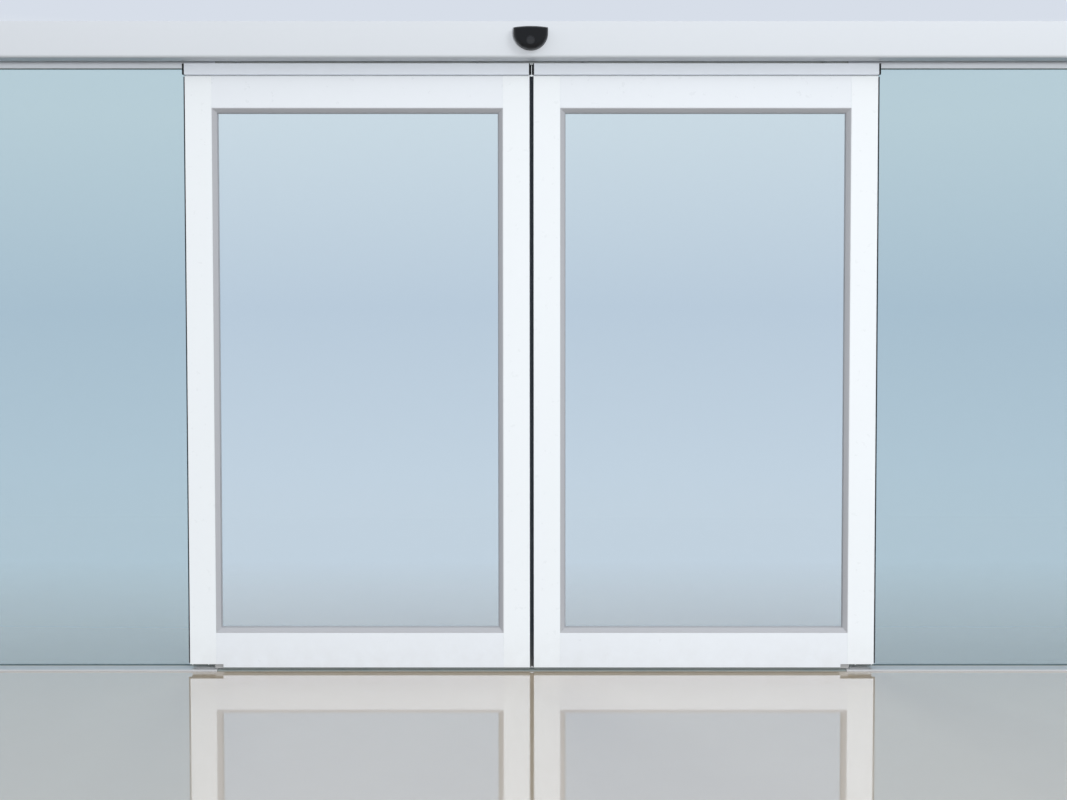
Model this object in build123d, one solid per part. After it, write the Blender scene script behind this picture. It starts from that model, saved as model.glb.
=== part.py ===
from build123d import *
import math
import os

# Automatic bi-parting sliding entrance door with glass sidelites, in millimetres.
# X runs to the right, Y runs from the room side towards the wall, Z runs up from the floor.
# The origin is on the floor, on the door's centreline, at half of the whole depth.

# Header (operator casing)
header_overrun = 192.5
carrier_gap = 4
wall_gap = 13
end_cap_thickness = 3
cover_thickness = 2
cover_corner_radius = 12
cover_return_end = 16
cover_lip_height = 8
cover_end_gap = 1

# Hinge bead of the cover in its cup on the beam
hinge_setback = 10
hinge_drop = 6
hinge_bead_radius = 3
hinge_clearance = 0.3
hinge_cup_wall = 2.2
hinge_cup_from = 205
hinge_cup_to = 65
hinge_web = 2

# Header beam
beam_back_thickness = 6
beam_flange_thickness = 5
beam_flange_start = 4
beam_seat_height = 5
beam_lift = 10
shelf_thickness = 6
shelf_rise = 38
lintel_hole_radius = 5.5
lintel_hole_drop = 31
lintel_hole_end_distance = 200
lintel_hole_count = 6

# Running rail
rail_width = 14
rail_height = 8
rail_groove_depth = 2.5
rail_end_gap = 40

# Motion sensor
sensor_width = 124
sensor_height = 83
sensor_depth = 50
sensor_rise = 25
sensor_arch = 5
sensor_side = 17
sensor_bevel = 9
window_radius = 15
window_rise = 30
window_proud = 1.5

# Leaves
leaf_width = 1270
leaf_height = 2200
leaf_thickness = 38
leaf_floor_gap = 15
meeting_gap = 15
open_leaf_cover = 140
stile_width = 98
top_rail_height = 117
bottom_rail_height = 130
profile_wall = 2.5
stile_web_place = 60
lip_width = 17
lip_thickness = 3
seal_groove_width = 4
seal_groove_depth = 5
guide_groove_depth = 15
notch_length = 124
notch_height = 12

# Leaf glazing
glass_thickness = 10
glass_edge_gap = 5
gasket_thickness = 3
front_gasket_width = 20
bead_width = 17
bead_set_in = 1
bead_front_land = 2.5
bead_back_land = 5
bead_wall = 1.6

# Seals on the leaf
seal_running_gap = 0.3
meeting_seal_width = 26
trailing_seal_reach = 7
trailing_seal_width = 6
brush_width = 5
brush_inset = 1
brush_base = 2.5
brush_floor_gap = 1
brush_hair_width = 3

# Carrier profile above the leaf
carrier_neck_height = 6
carrier_neck_width = 18
carrier_height = 41
carrier_width = 30
carrier_overrun = 4
carrier_inner_setback = 2
carrier_inner_cap = 3.5
carrier_outer_cap = 7
carrier_wall = 3
slot_width = 13
slot_lip = 3.5
slot_cavity_width = 22
slot_cavity_height = 10

# Hangers, wheels and bolts
hanger_inset = 190
hanger_length = 120
hanger_plate_thickness = 6
hanger_head_rise = 22
hanger_corner = 28
hanger_foot_thickness = 8
hanger_foot_depth = 29
hanger_rail_gap = 1.5
keeper_place = 38
keeper_length = 20
keeper_width = 8
keeper_height = 9.5
keeper_gap = 0.5
wheel_radius = 22
wheel_width = 8
wheel_track_gap = 0.5
wheel_side_gap = 0.5
rolling_clearance = 0.3
axle_radius = 6
axle_clearance = 0.05
axle_head_width = 18
axle_head_height = 4
axle_nut_gap = 0.5
axle_nut_height = 3
bolt_radius = 5
bolt_hole_clearance = 0.3
bolt_head_side_gap = 1.5
bolt_head_foot_gap = 2
bolt_neck_gap = 0.3
nut_across_flats = 16
nut_height = 7

# Belt drive
pulley_margin = 40
pulley_rise = 41
pulley_teeth = 16
pulley_tip_radius = 20.5
pulley_tooth_depth = 2
pulley_face_width = 12.6
pulley_flange_radius = 24.5
pulley_flange_thickness = 1.4
pulley_gap = 4.3
belt_inner_radius = 21
belt_thickness = 1.8
belt_width = 12
gearbox_length = 60
gearbox_height = 62
gearbox_depth = 58
gearbox_room = 18
gearbox_pad_inset = 10
gearbox_pad_height = 16
gearbox_bore_depth = 28
motor_radius = 28
motor_length = 130
idler_plate_width = 56
idler_plate_thickness = 6
idler_plate_gap = 2.5
idler_plate_corner = 14
idler_foot_depth = 34
clamp_length = 40
clamp_offset = 38
clamp_jaw = 5
clamp_gap = 0.4
clamp_wall = 3
clamp_front_gap = 1
clamp_pad_depth = 4.5
clamp_pad_height = 14
clamp_pad_rise = 2

# Control unit and power supply in the header
unit_depth = 68
unit_height = 74
unit_room = 22
motor_to_unit_gap = 110
unit_to_unit_gap = 60
control_unit_length = 300
power_supply_length = 190
unit_corner = 4
fin_count = 9
fin_width = 3
fin_depth = 5
unit_recess_margin = 12
unit_recess_depth = 2

# End stops on the rail
stop_length = 24
stop_height = 24
stop_depth = 28
stop_gap = 0.5
stop_slot_clearance = 0.2

# Sidelites
sidelite_overlap = 90
sidelite_gap = 5
sidelite_glass_thickness = 12
channel_leg = 3
channel_height = 26
channel_web = 3
channel_glass_gap = 5
jamb_width = 20
jamb_slot = 16
jamb_glass_gap = 4
jamb_hole_radius = 4
jamb_hole_spacing = 1800
trim_width = 16
trim_bite = 10
sidelite_gasket_height = 13
sidelite_gasket_proud = 3

# Floor sills and floor guides
sill_height = 6
sill_lead = 0.5
sill_front_bevel = 2
sill_back_margin = 5
sill_glass_recess = 3
sill_gasket_proud = 2
guide_plate_length = 72
guide_plate_lead = 12.5
guide_plate_width = 16
guide_plate_thickness = 5
guide_tongue_reach = 42
guide_tongue_thickness = 6
guide_tongue_height = 14
guide_block_length = 43
guide_block_width = 12
guide_clearance = 0.5
guide_block_wall = 4
guide_block_lift = 1
guide_block_height = 17

# Places worked out from the sizes: lengths first
leaf_inner = meeting_gap / 2
leaf_outer = leaf_inner + leaf_width
leaf_travel = leaf_width - open_leaf_cover
half_length = leaf_outer + leaf_travel + header_overrun
beam_half = half_length - end_cap_thickness
opening_left = leaf_inner + stile_width
opening_right = leaf_outer - stile_width
hanger_places = (leaf_inner + hanger_inset, leaf_outer - hanger_inset)
clamp_place = hanger_places[0] + clamp_offset
pulley_place = clamp_place + leaf_travel + clamp_length / 2 + pulley_flange_radius + pulley_margin
control_unit_start = pulley_place + gearbox_length / 2 + motor_length + motor_to_unit_gap
power_supply_start = control_unit_start + control_unit_length + unit_to_unit_gap
pane_edge = leaf_outer - sidelite_overlap
trim_start = pane_edge - (trim_width - trim_bite)
sill_start = trim_start - sill_lead - channel_leg - 1
jamb_outer = beam_half - cover_end_gap
jamb_inner = jamb_outer - jamb_width
pane_outer = jamb_inner + jamb_slot - jamb_glass_gap

# Depths, counted from the cover's front face back to the wall
gearbox_setback = gearbox_room + gearbox_depth
belt_setback = gearbox_setback + pulley_gap + pulley_flange_thickness + pulley_face_width / 2
hanger_setback = belt_setback + belt_width / 2 + clamp_front_gap + clamp_wall + clamp_pad_depth
rail_setback = hanger_setback + hanger_plate_thickness + hanger_rail_gap
leaf_setback = rail_setback + rail_width / 2 - leaf_thickness / 2
sidelite_depth = 2 * (channel_leg + gasket_thickness) + sidelite_glass_thickness
header_depth = leaf_setback + leaf_thickness + sidelite_gap + sidelite_depth + wall_gap
wall_y = (header_depth + sensor_depth) / 2
cover_front = wall_y - header_depth
beam_back = wall_y - beam_back_thickness
hinge_y = cover_front + hinge_setback
gearbox_front = cover_front + gearbox_room
unit_front = cover_front + unit_room
belt_plane = cover_front + belt_setback
hanger_front = cover_front + hanger_setback
hanger_back = hanger_front + hanger_plate_thickness
shelf_front = cover_front + rail_setback
leaf_front = cover_front + leaf_setback
leaf_mid = leaf_front + leaf_thickness / 2
leaf_back = leaf_front + leaf_thickness
glass_back = leaf_back - lip_thickness - gasket_thickness
glass_front = glass_back - glass_thickness
bead_back = glass_front - gasket_thickness
sidelite_front = leaf_back + sidelite_gap
sidelite_back = sidelite_front + sidelite_depth
slot_front = sidelite_front + channel_leg
slot_back = sidelite_back - channel_leg
pane_front = slot_front + gasket_thickness
pane_back = slot_back - gasket_thickness
sill_front = leaf_front
sill_back = sidelite_back + sill_back_margin

# Heights, from the floor up
leaf_bottom = leaf_floor_gap
leaf_top = leaf_bottom + leaf_height
opening_bottom = leaf_bottom + bottom_rail_height
opening_top = leaf_top - top_rail_height
carrier_bottom = leaf_top + carrier_neck_height
carrier_top = carrier_bottom + carrier_height
header_underside = carrier_top + carrier_gap
beam_underside = header_underside + beam_lift
shelf_top = header_underside + shelf_rise
rail_top = shelf_top + rail_height
tread_z = rail_top - rail_groove_depth
axle_z = tread_z + rolling_clearance + wheel_radius
keeper_top = shelf_top - shelf_thickness - keeper_gap
hanger_foot_top = keeper_top - keeper_height
hanger_foot_bottom = hanger_foot_top - hanger_foot_thickness
pulley_height = shelf_top + pulley_rise
top_flange_under = pulley_height + gearbox_height / 2 + gearbox_pad_height
header_top = top_flange_under + beam_flange_thickness
hinge_z = header_top - hinge_drop
sensor_bottom = header_underside + sensor_rise
channel_top = beam_underside
channel_bottom = channel_top - channel_height
pane_top = channel_top - channel_web - channel_glass_gap
pane_bottom = sill_height - sill_glass_recess

# Fits that take their size from the piece they hold
rail_groove_width = wheel_width + 2 * wheel_track_gap
guide_groove_width = guide_block_width + 2 * guide_clearance
brush_height = leaf_floor_gap - sill_height - brush_floor_gap


def block(x, y, z):
    """A box between low and high limits in X, Y and Z."""
    size = [high - low for low, high in (x, y, z)]
    middle = [(low + high) / 2 for low, high in (x, y, z)]
    return Pos(*middle) * Box(*size)


def window(u, v):
    """A rectangle between low and high limits in a section's own two directions."""
    return Pos((u[0] + u[1]) / 2, (v[0] + v[1]) / 2) * Rectangle(u[1] - u[0], v[1] - v[0])


def outline(*points):
    """A section with straight sides through the points."""
    return make_face(Polyline(*points, close=True))


def along_x(section, start, end):
    """A section drawn in Y and Z, carried along X."""
    return extrude(Plane.YZ.offset(start) * section, amount=end - start)


def along_z(section, start, end):
    """A section drawn in X and Y, carried up."""
    return extrude(Plane.XY.offset(start) * section, amount=end - start)


def pin(x, z, radius, front, back):
    """A cylinder along Y between two depths."""
    return extrude(Plane.XZ.offset(-back) * Pos(x, z) * Circle(radius), amount=back - front)


def hexagon(across_flats):
    """The section of a hexagonal nut, head or spacer."""
    return RegularPolygon(across_flats / math.sqrt(3), 6)


def hex_along_y(x, z, across_flats, front, back):
    return extrude(Plane.XZ.offset(-back) * Pos(x, z) * hexagon(across_flats), amount=back - front)


# Header beam: back plate, top flange with the hinge cup, rail shelf and seat for the top channels.
def make_header_beam():
    section = outline(
        (wall_y, beam_underside), (sidelite_front, beam_underside),
        (sidelite_front, beam_underside + beam_seat_height),
        (beam_back, beam_underside + beam_seat_height),
        (beam_back, shelf_top - shelf_thickness),
        (shelf_front, shelf_top - shelf_thickness), (shelf_front, shelf_top), (beam_back, shelf_top),
        (beam_back, top_flange_under), (hinge_y + beam_flange_start, top_flange_under),
        (hinge_y + beam_flange_start, header_top), (wall_y, header_top),
    )
    cup_inner = hinge_bead_radius + hinge_clearance
    cup_outer = cup_inner + hinge_cup_wall
    reach = 3 * cup_outer
    mouth = [(0, 0)]
    for angle in (hinge_cup_to, (hinge_cup_to + hinge_cup_from) / 2, hinge_cup_from):
        turn = math.radians(angle)
        mouth.append((reach * math.cos(turn), reach * math.sin(turn)))
    at_hinge = Pos(hinge_y, hinge_z)
    section += at_hinge * Circle(cup_outer)
    section -= at_hinge * Circle(cup_inner) + at_hinge * outline(*mouth)
    beam = along_x(section, -beam_half, beam_half)
    first = lintel_hole_end_distance - half_length
    step = -2 * first / (lintel_hole_count - 1)
    height = header_top - lintel_hole_drop
    for place in range(lintel_hole_count):
        beam -= pin(first + place * step, height, lintel_hole_radius, beam_back - 1, wall_y + 1)
    return beam


def make_running_rail():
    """A rail with a shallow groove along its top, in which the wheels run."""
    half, groove = rail_width / 2, rail_groove_width / 2
    section = window((-half, half), (shelf_top, rail_top))
    section -= window((-groove, groove), (tread_z, rail_top))
    return along_x(Pos(leaf_mid, 0) * section, rail_end_gap - beam_half, beam_half - rail_end_gap)


def casing_section(inset):
    """The casing's outline, rounded at its lower front edge, drawn in by an inset."""
    face = window(
        (cover_front + inset, wall_y), (header_underside + inset, header_top),
    )
    corner = face.vertices().sort_by(Axis.X)[:2].sort_by(Axis.Y)[0]
    return fillet(corner, cover_corner_radius - inset)


def make_end_cap():
    return along_x(casing_section(0), beam_half, half_length)


# Front cover: face, rounded lower edge, return with a lip, and the hinge bead on its web.
def make_header_cover():
    return_end = leaf_front - cover_return_end
    inner_top = header_underside + cover_thickness
    section = casing_section(0) - casing_section(cover_thickness)
    section -= window((return_end, wall_y + 1), (header_underside - 1, header_top + 1))
    section += window(
        (return_end - cover_thickness, return_end), (header_underside, inner_top + cover_lip_height),
    )
    section += window(
        (cover_front, hinge_y), (hinge_z - hinge_web / 2, hinge_z + hinge_web / 2),
    )
    section += Pos(hinge_y, hinge_z) * Circle(hinge_bead_radius)
    half = beam_half - cover_end_gap
    return along_x(section, -half, half)


# Motion sensor: a half-moon with a slightly arched top and a bevel round its front.
def make_sensor_housing():
    half = sensor_width / 2
    shoulder = sensor_bottom + sensor_height - sensor_arch
    turn = shoulder - sensor_side
    edge = [
        Line((-half, turn), (-half, shoulder)),
        ThreePointArc((-half, shoulder), (0, shoulder + sensor_arch), (half, shoulder)),
        Line((half, shoulder), (half, turn)),
        ThreePointArc((half, turn), (0, sensor_bottom), (-half, turn)),
    ]
    face = Plane.XZ.offset(-cover_front) * make_face(edge)
    housing = extrude(face, amount=sensor_depth - window_proud)
    front = housing.faces().sort_by(Axis.Y)[0]
    return chamfer(front.edges(), sensor_bevel)


def make_sensor_window():
    front = cover_front - sensor_depth
    return pin(0, sensor_bottom + window_rise, window_radius, front, front + window_proud)


# Leaf frame. Every leaf piece is made for the right leaf and mirrored for the left one.
def make_stile(outer, towards_glass):
    """A full-height hollow stile. Its edge groove holds a seal, and its rear lip backs the glass."""
    mid = leaf_thickness / 2
    groove = seal_groove_width / 2
    inner = leaf_thickness - profile_wall
    tube = window((0, stile_width), (0, leaf_thickness))
    tube -= window((0, seal_groove_depth), (mid - groove, mid + groove))
    room = window((profile_wall, stile_web_place), (profile_wall, inner))
    pocket = seal_groove_depth + profile_wall
    room -= window((0, pocket), (mid - groove - profile_wall, mid + groove + profile_wall))
    tube -= room
    tube -= window(
        (stile_web_place + profile_wall, stile_width - profile_wall), (profile_wall, inner),
    )
    lip = window(
        (stile_width, stile_width + lip_width), (leaf_thickness - lip_thickness, leaf_thickness),
    )
    low, high = opening_bottom + lip_width, opening_top - lip_width
    stile = along_z(tube, leaf_bottom, leaf_top) + along_z(lip, low, high)
    if towards_glass < 0:
        stile = mirror(stile, Plane.YZ)
    return Pos(outer, leaf_front) * stile - make_guide_groove() - make_guide_notch()


def make_guide_groove():
    half = guide_groove_width / 2
    return block(
        (leaf_inner - 1, leaf_outer + 1), (leaf_mid - half, leaf_mid + half),
        (leaf_bottom - 1, leaf_bottom + guide_groove_depth),
    )


def make_guide_notch():
    """The step in the front wall at the outer lower corner, where the floor guide shows."""
    return block(
        (leaf_outer - notch_length, leaf_outer + 1), (leaf_front - 1, leaf_mid),
        (leaf_bottom - 1, leaf_bottom + notch_height),
    )


def make_top_rail():
    face = window((leaf_front, leaf_back), (opening_top, leaf_top))
    face -= window(
        (leaf_front + profile_wall, leaf_back - profile_wall),
        (opening_top + profile_wall, leaf_top - profile_wall),
    )
    face += window((leaf_back - lip_thickness, leaf_back), (opening_top - lip_width, opening_top))
    return along_x(face, opening_left, opening_right)


def make_bottom_rail():
    """The rail is folded round a groove along its underside, in which the floor guide runs."""
    half = guide_groove_width / 2
    groove_top = leaf_bottom + guide_groove_depth
    face = window((leaf_front, leaf_back), (leaf_bottom, opening_bottom))
    room = window(
        (leaf_front + profile_wall, leaf_back - profile_wall),
        (leaf_bottom + profile_wall, opening_bottom - profile_wall),
    )
    room -= window(
        (leaf_mid - half - profile_wall, leaf_mid + half + profile_wall),
        (leaf_bottom, groove_top + profile_wall),
    )
    face -= room
    face -= window((leaf_mid - half, leaf_mid + half), (leaf_bottom, groove_top))
    face += window(
        (leaf_back - lip_thickness, leaf_back), (opening_bottom, opening_bottom + lip_width),
    )
    return along_x(face, opening_left, opening_right) - make_guide_notch()


def make_leaf_glass():
    return block(
        (opening_left + glass_edge_gap, opening_right - glass_edge_gap),
        (glass_front, glass_back),
        (opening_bottom + glass_edge_gap, opening_top - glass_edge_gap),
    )


# Glazing beads: four open sections with sloping faces, mitred at the corners.
def make_bead(corner, inwards, length):
    """One bead. inwards is the direction from the frame to the glass."""
    depth = bead_back - leaf_front
    bevel_end = depth - bead_back_land
    wall = bead_wall
    section = outline(
        (0, bead_set_in), (bead_front_land, bead_set_in), (bead_width, bevel_end),
        (bead_width, depth), (0, depth),
    )
    section -= outline(
        (0, bead_set_in + wall), (bead_front_land - wall / 2, bead_set_in + wall),
        (bead_width - wall, bevel_end + wall / 2), (bead_width - wall, depth - wall),
        (0, depth - wall),
    )
    run = Vector(*inwards).cross(Vector(0, 1, 0))
    start = Vector(*corner)
    bar = extrude(Plane(start, x_dir=inwards, z_dir=run) * section, amount=length)
    mitres = outline((0, 0), (bead_width, bead_width), (bead_width, length - bead_width), (0, length))
    flat = Plane(start, x_dir=inwards, z_dir=(0, -1, 0))
    return bar & extrude(flat * mitres, amount=2 * depth, both=True)


def make_glazing_beads():
    wide, high = opening_right - opening_left, opening_top - opening_bottom
    return [
        make_bead((opening_left, leaf_front, opening_bottom), (1, 0, 0), high),
        make_bead((opening_right, leaf_front, opening_top), (-1, 0, 0), high),
        make_bead((opening_right, leaf_front, opening_bottom), (0, 0, 1), wide),
        make_bead((opening_left, leaf_front, opening_top), (0, 0, -1), wide),
    ]


def make_gasket_ring(width, front):
    """A flat ring of rubber round the glass."""
    back = front + gasket_thickness
    ring = block((opening_left, opening_right), (front, back), (opening_bottom, opening_top))
    return ring - block(
        (opening_left + width, opening_right - width), (front - 1, back + 1),
        (opening_bottom + width, opening_top - width),
    )


def make_glazing_gaskets():
    return [make_gasket_ring(front_gasket_width, bead_back), make_gasket_ring(lip_width, glass_back)]


# Seals of the leaf.
def make_meeting_seal():
    """A rubber profile on the leading stile: a foot in the groove and a soft nose with bevelled sides."""
    half, foot = meeting_seal_width / 2, seal_groove_width / 2
    nose = leaf_inner - seal_running_gap / 2
    section = outline(
        (0, -half), (-nose / 2, -half), (-nose, foot - half), (-nose, half - foot),
        (-nose / 2, half), (0, half),
    )
    section += window((0, seal_groove_depth), (-foot, foot))
    return along_z(Pos(leaf_inner, leaf_mid) * section, leaf_bottom, leaf_top)


def make_trailing_seal():
    half, foot = trailing_seal_width / 2, seal_groove_width / 2
    section = window((0, trailing_seal_reach), (-half, half))
    section += window((-seal_groove_depth, 0), (-foot, foot))
    return along_z(Pos(leaf_outer, leaf_mid) * section, leaf_bottom + notch_height, leaf_top)


def make_brush_strips():
    """Two brush strips under the leaf: a strip base, and the hair below it."""
    strips = []
    half, hair = brush_width / 2, brush_hair_width / 2
    for middle, end in (
        (leaf_front + brush_inset + half, leaf_outer - notch_length),
        (leaf_back - brush_inset - half, leaf_outer),
    ):
        section = window((middle - half, middle + half), (leaf_bottom - brush_base, leaf_bottom))
        section += window((middle - hair, middle + hair), (leaf_bottom - brush_height, leaf_bottom))
        strips.append(along_x(section, leaf_inner, end))
    return strips


# Carrier profile: a neck on the leaf, a hollow chamber, and a slot above it for the hanger bolts.
def make_carrier_profile():
    half, neck = carrier_width / 2, carrier_neck_width / 2
    cavity_top = carrier_top - slot_lip
    cavity_bottom = cavity_top - slot_cavity_height
    section = window((-half, half), (carrier_bottom, carrier_top))
    section += window((-neck, neck), (leaf_top, carrier_bottom))
    section -= window((-slot_width / 2, slot_width / 2), (cavity_top, carrier_top))
    section -= window((-slot_cavity_width / 2, slot_cavity_width / 2), (cavity_bottom, cavity_top))
    section -= window(
        (carrier_wall - half, half - carrier_wall),
        (carrier_bottom + carrier_wall, cavity_bottom - carrier_wall),
    )
    body = along_x(
        Pos(leaf_mid, 0) * section, leaf_inner + carrier_inner_setback, leaf_outer + carrier_overrun,
    )
    proud = leaf_outer + carrier_overrun
    return body - block((leaf_outer, proud + 1), (leaf_front, leaf_back), (leaf_top, carrier_bottom))


def make_carrier_caps():
    half = carrier_width / 2
    inner, outer = leaf_inner + carrier_inner_setback, leaf_outer + carrier_overrun
    depth, height = (leaf_mid - half, leaf_mid + half), (carrier_bottom, carrier_top)
    return [
        block((inner - carrier_inner_cap, inner), depth, height),
        block((outer, outer + carrier_outer_cap), depth, height),
    ]


# Hangers: a bent plate with an axle bolt for the wheel, and keeper lugs under the shelf.
def make_hanger(x):
    half = hanger_length / 2
    hanger = block(
        (x - half, x + half), (hanger_front, hanger_back), (hanger_foot_bottom, axle_z + hanger_head_rise),
    )
    hanger = chamfer(hanger.edges().filter_by(Axis.Y).group_by(Axis.Z)[-1], hanger_corner)
    foot_depth = (hanger_front, hanger_front + hanger_foot_depth)
    hanger += block((x - half, x + half), foot_depth, (hanger_foot_bottom, hanger_foot_top))
    for side in (-1, 1):
        lug = x + side * keeper_place
        hanger += block(
            (lug - keeper_length / 2, lug + keeper_length / 2),
            (leaf_mid - keeper_width / 2, leaf_mid + keeper_width / 2), (hanger_foot_top, keeper_top),
        )
    spacer_end = leaf_mid - wheel_width / 2 - wheel_side_gap
    nut_front = leaf_mid + wheel_width / 2 + axle_nut_gap
    nut_back = nut_front + axle_nut_height
    for front, back in (
        (hanger_front - axle_head_height, hanger_front), (hanger_back, spacer_end), (nut_front, nut_back),
    ):
        hanger += hex_along_y(x, axle_z, axle_head_width, front, back)
    hanger += pin(x, axle_z, axle_radius, spacer_end, nut_back)
    hole = Cylinder(bolt_radius + bolt_hole_clearance, 3 * hanger_foot_thickness)
    return hanger - Pos(x, leaf_mid, hanger_foot_bottom) * hole


def make_hanger_bolts():
    """Bolts that lock in the carrier's slot: square head and neck, hexagonal shoulder, shank and nut."""
    bolts = []
    slot_low = carrier_top - slot_lip
    head_height = slot_cavity_height - bolt_head_foot_gap
    head_width = slot_cavity_width - 2 * bolt_head_side_gap
    neck_width = slot_width - 2 * bolt_neck_gap
    square, neck = Rectangle(head_width, head_width), Rectangle(neck_width, neck_width)
    nut = hexagon(nut_across_flats)
    for x in hanger_places:
        at = Pos(x, leaf_mid)
        bolt = along_z(at * square, slot_low - head_height, slot_low)
        bolt += along_z(at * neck, slot_low, carrier_top)
        bolt += along_z(at * nut, carrier_top, hanger_foot_bottom)
        bolt += along_z(at * Circle(bolt_radius), hanger_foot_bottom, hanger_foot_top)
        bolts.append(bolt + along_z(at * nut, hanger_foot_top, hanger_foot_top + nut_height))
    return bolts


def make_wheel(x):
    """A wheel turned about its axle. Its narrow tread runs in the rail's groove."""
    half = wheel_width / 2
    profile = window((axle_radius + axle_clearance, wheel_radius), (-half, half))
    return Pos(x, leaf_mid, axle_z) * revolve(profile, Axis.Y)


# Belt drive
def make_pulley():
    """A toothed pulley about the Y axis through the origin."""
    root = pulley_tip_radius - pulley_tooth_depth
    step = 2 * math.pi / pulley_teeth
    points = []
    for tooth in range(pulley_teeth):
        for radius, share in (
            (root, 0.0), (root, 0.4), (pulley_tip_radius, 0.55), (pulley_tip_radius, 0.85),
        ):
            angle = (tooth + share) * step
            points.append((radius * math.cos(angle), radius * math.sin(angle)))
    return extrude(Plane.XZ * outline(*points), amount=pulley_face_width / 2, both=True)


def make_drive_pulley():
    """The driven pulley has the flange that keeps the belt in line, and the gearbox's shaft."""
    face = -pulley_face_width / 2
    shaft_front = gearbox_front + gearbox_depth - gearbox_bore_depth
    pulley = make_pulley() + pin(0, 0, pulley_flange_radius, face - pulley_flange_thickness, face)
    pulley += pin(0, 0, axle_radius, shaft_front - belt_plane, 0)
    return Pos(pulley_place, belt_plane, pulley_height) * pulley


def make_idler_pulley():
    bore = pin(0, 0, axle_radius + axle_clearance, -pulley_face_width, pulley_face_width)
    return Pos(-pulley_place, belt_plane, pulley_height) * (make_pulley() - bore)


def make_belt():
    """A flat loop round both pulleys."""
    def loop(radius):
        face = Rectangle(2 * pulley_place, 2 * radius)
        for side in (-1, 1):
            face += Pos(side * pulley_place, 0) * Circle(radius)
        return face

    ring = loop(belt_inner_radius + belt_thickness) - loop(belt_inner_radius)
    at = Plane.XZ.offset(-belt_plane) * Pos(0, pulley_height)
    return extrude(at * ring, amount=belt_width / 2, both=True)


def make_gearbox():
    """A cast box with a pad under the beam's top flange and a bore for the pulley's shaft."""
    half = gearbox_length / 2
    back = gearbox_front + gearbox_depth
    low, high = pulley_height - gearbox_height / 2, pulley_height + gearbox_height / 2
    box = block((-half, half), (gearbox_front, back), (low, high))
    box = chamfer(box.edges().filter_by(Axis.Y), unit_corner)
    pad = half - gearbox_pad_inset
    box += block((-pad, pad), (gearbox_front, back), (high, top_flange_under))
    box -= pin(0, pulley_height, axle_radius + axle_clearance, back - gearbox_bore_depth - 1, back + 1)
    return Pos(pulley_place, 0) * box


def make_motor():
    start = pulley_place + gearbox_length / 2
    centre = Plane.YZ.offset(start) * Pos(gearbox_front + gearbox_depth / 2, pulley_height)
    return extrude(centre * Circle(motor_radius), amount=motor_length)


def make_idler_bracket():
    """A hanging plate with a foot on the top flange and the pin that carries the idler."""
    half = idler_plate_width / 2
    front = belt_plane - pulley_face_width / 2 - idler_plate_gap
    plate_front = front - idler_plate_thickness
    foot_low = top_flange_under - idler_plate_thickness
    head = belt_plane + pulley_face_width / 2 + axle_nut_gap
    shape = block((-half, half), (plate_front, front), (pulley_height - half, top_flange_under))
    shape = chamfer(shape.edges().filter_by(Axis.Y).group_by(Axis.Z)[0], idler_plate_corner)
    shape += block((-half, half), (plate_front - idler_foot_depth, front), (foot_low, top_flange_under))
    shape += pin(0, pulley_height, axle_radius, front, head)
    shape += hex_along_y(0, pulley_height, axle_head_width, head, head + axle_nut_height)
    return Pos(-pulley_place, 0) * shape


def make_belt_clamp(x, run_centre):
    """A bracket on a hanger plate, with two jaws about one run of the belt."""
    span = (x - clamp_length / 2, x + clamp_length / 2)
    belt_front, belt_back = belt_plane - belt_width / 2, belt_plane + belt_width / 2
    wall_front = belt_back + clamp_front_gap
    wall_back = wall_front + clamp_wall
    pad_low = shelf_top + clamp_pad_rise
    inner = belt_thickness / 2 + clamp_gap
    outer = inner + clamp_jaw
    clamp = block(span, (wall_back, hanger_front), (pad_low, pad_low + clamp_pad_height))
    clamp += block(span, (wall_front, wall_back), (pad_low, run_centre + outer))
    for low, high in ((-outer, -inner), (inner, outer)):
        clamp += block(span, (belt_front, wall_back), (run_centre + low, run_centre + high))
    return clamp


# Electronics in the header: closed boxes on the underside of the top flange.
def make_unit(start, length):
    end = start + length
    depth = (unit_front, unit_front + unit_depth)
    unit = block((start, end), depth, (top_flange_under - unit_height, top_flange_under))
    return chamfer(unit.edges().filter_by(Axis.X).group_by(Axis.Z)[0], unit_corner)


def make_control_unit():
    unit = make_unit(control_unit_start, control_unit_length)
    margin = unit_recess_margin
    low = top_flange_under - unit_height + margin
    recess = block(
        (control_unit_start + margin, control_unit_start + control_unit_length - margin),
        (unit_front - 1, unit_front + unit_recess_depth), (low, top_flange_under - margin),
    )
    return unit - recess


def make_power_supply():
    unit = make_unit(power_supply_start, power_supply_length)
    pitch = power_supply_length / (fin_count + 1)
    low = top_flange_under - unit_height
    for fin in range(fin_count):
        x = power_supply_start + (fin + 1) * pitch
        unit -= block(
            (x - fin_width / 2, x + fin_width / 2), (unit_front - 1, unit_front + fin_depth),
            (low - 1, top_flange_under - unit_recess_margin),
        )
    return unit


def make_end_stops():
    """Stops astride the rail, just past each hanger's travel."""
    first, last = hanger_places
    half = hanger_length / 2
    closed = first - half - stop_gap - stop_length
    opened = last + half + leaf_travel + stop_gap
    front = hanger_front
    stops = []
    for start in (closed, opened, -closed - stop_length, -opened - stop_length):
        stop = block(
            (start, start + stop_length), (front, front + stop_depth), (shelf_top, shelf_top + stop_height),
        )
        slot = rail_width / 2 + stop_slot_clearance
        stops.append(stop - block(
            (start - 1, start + stop_length + 1), (leaf_mid - slot, leaf_mid + slot),
            (shelf_top - 1, rail_top + stop_slot_clearance),
        ))
    return stops


# Sidelites, made for the right side and mirrored for the left one.
def make_sidelite_glass():
    return block((pane_edge, pane_outer), (pane_front, pane_back), (pane_bottom, pane_top))


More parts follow.
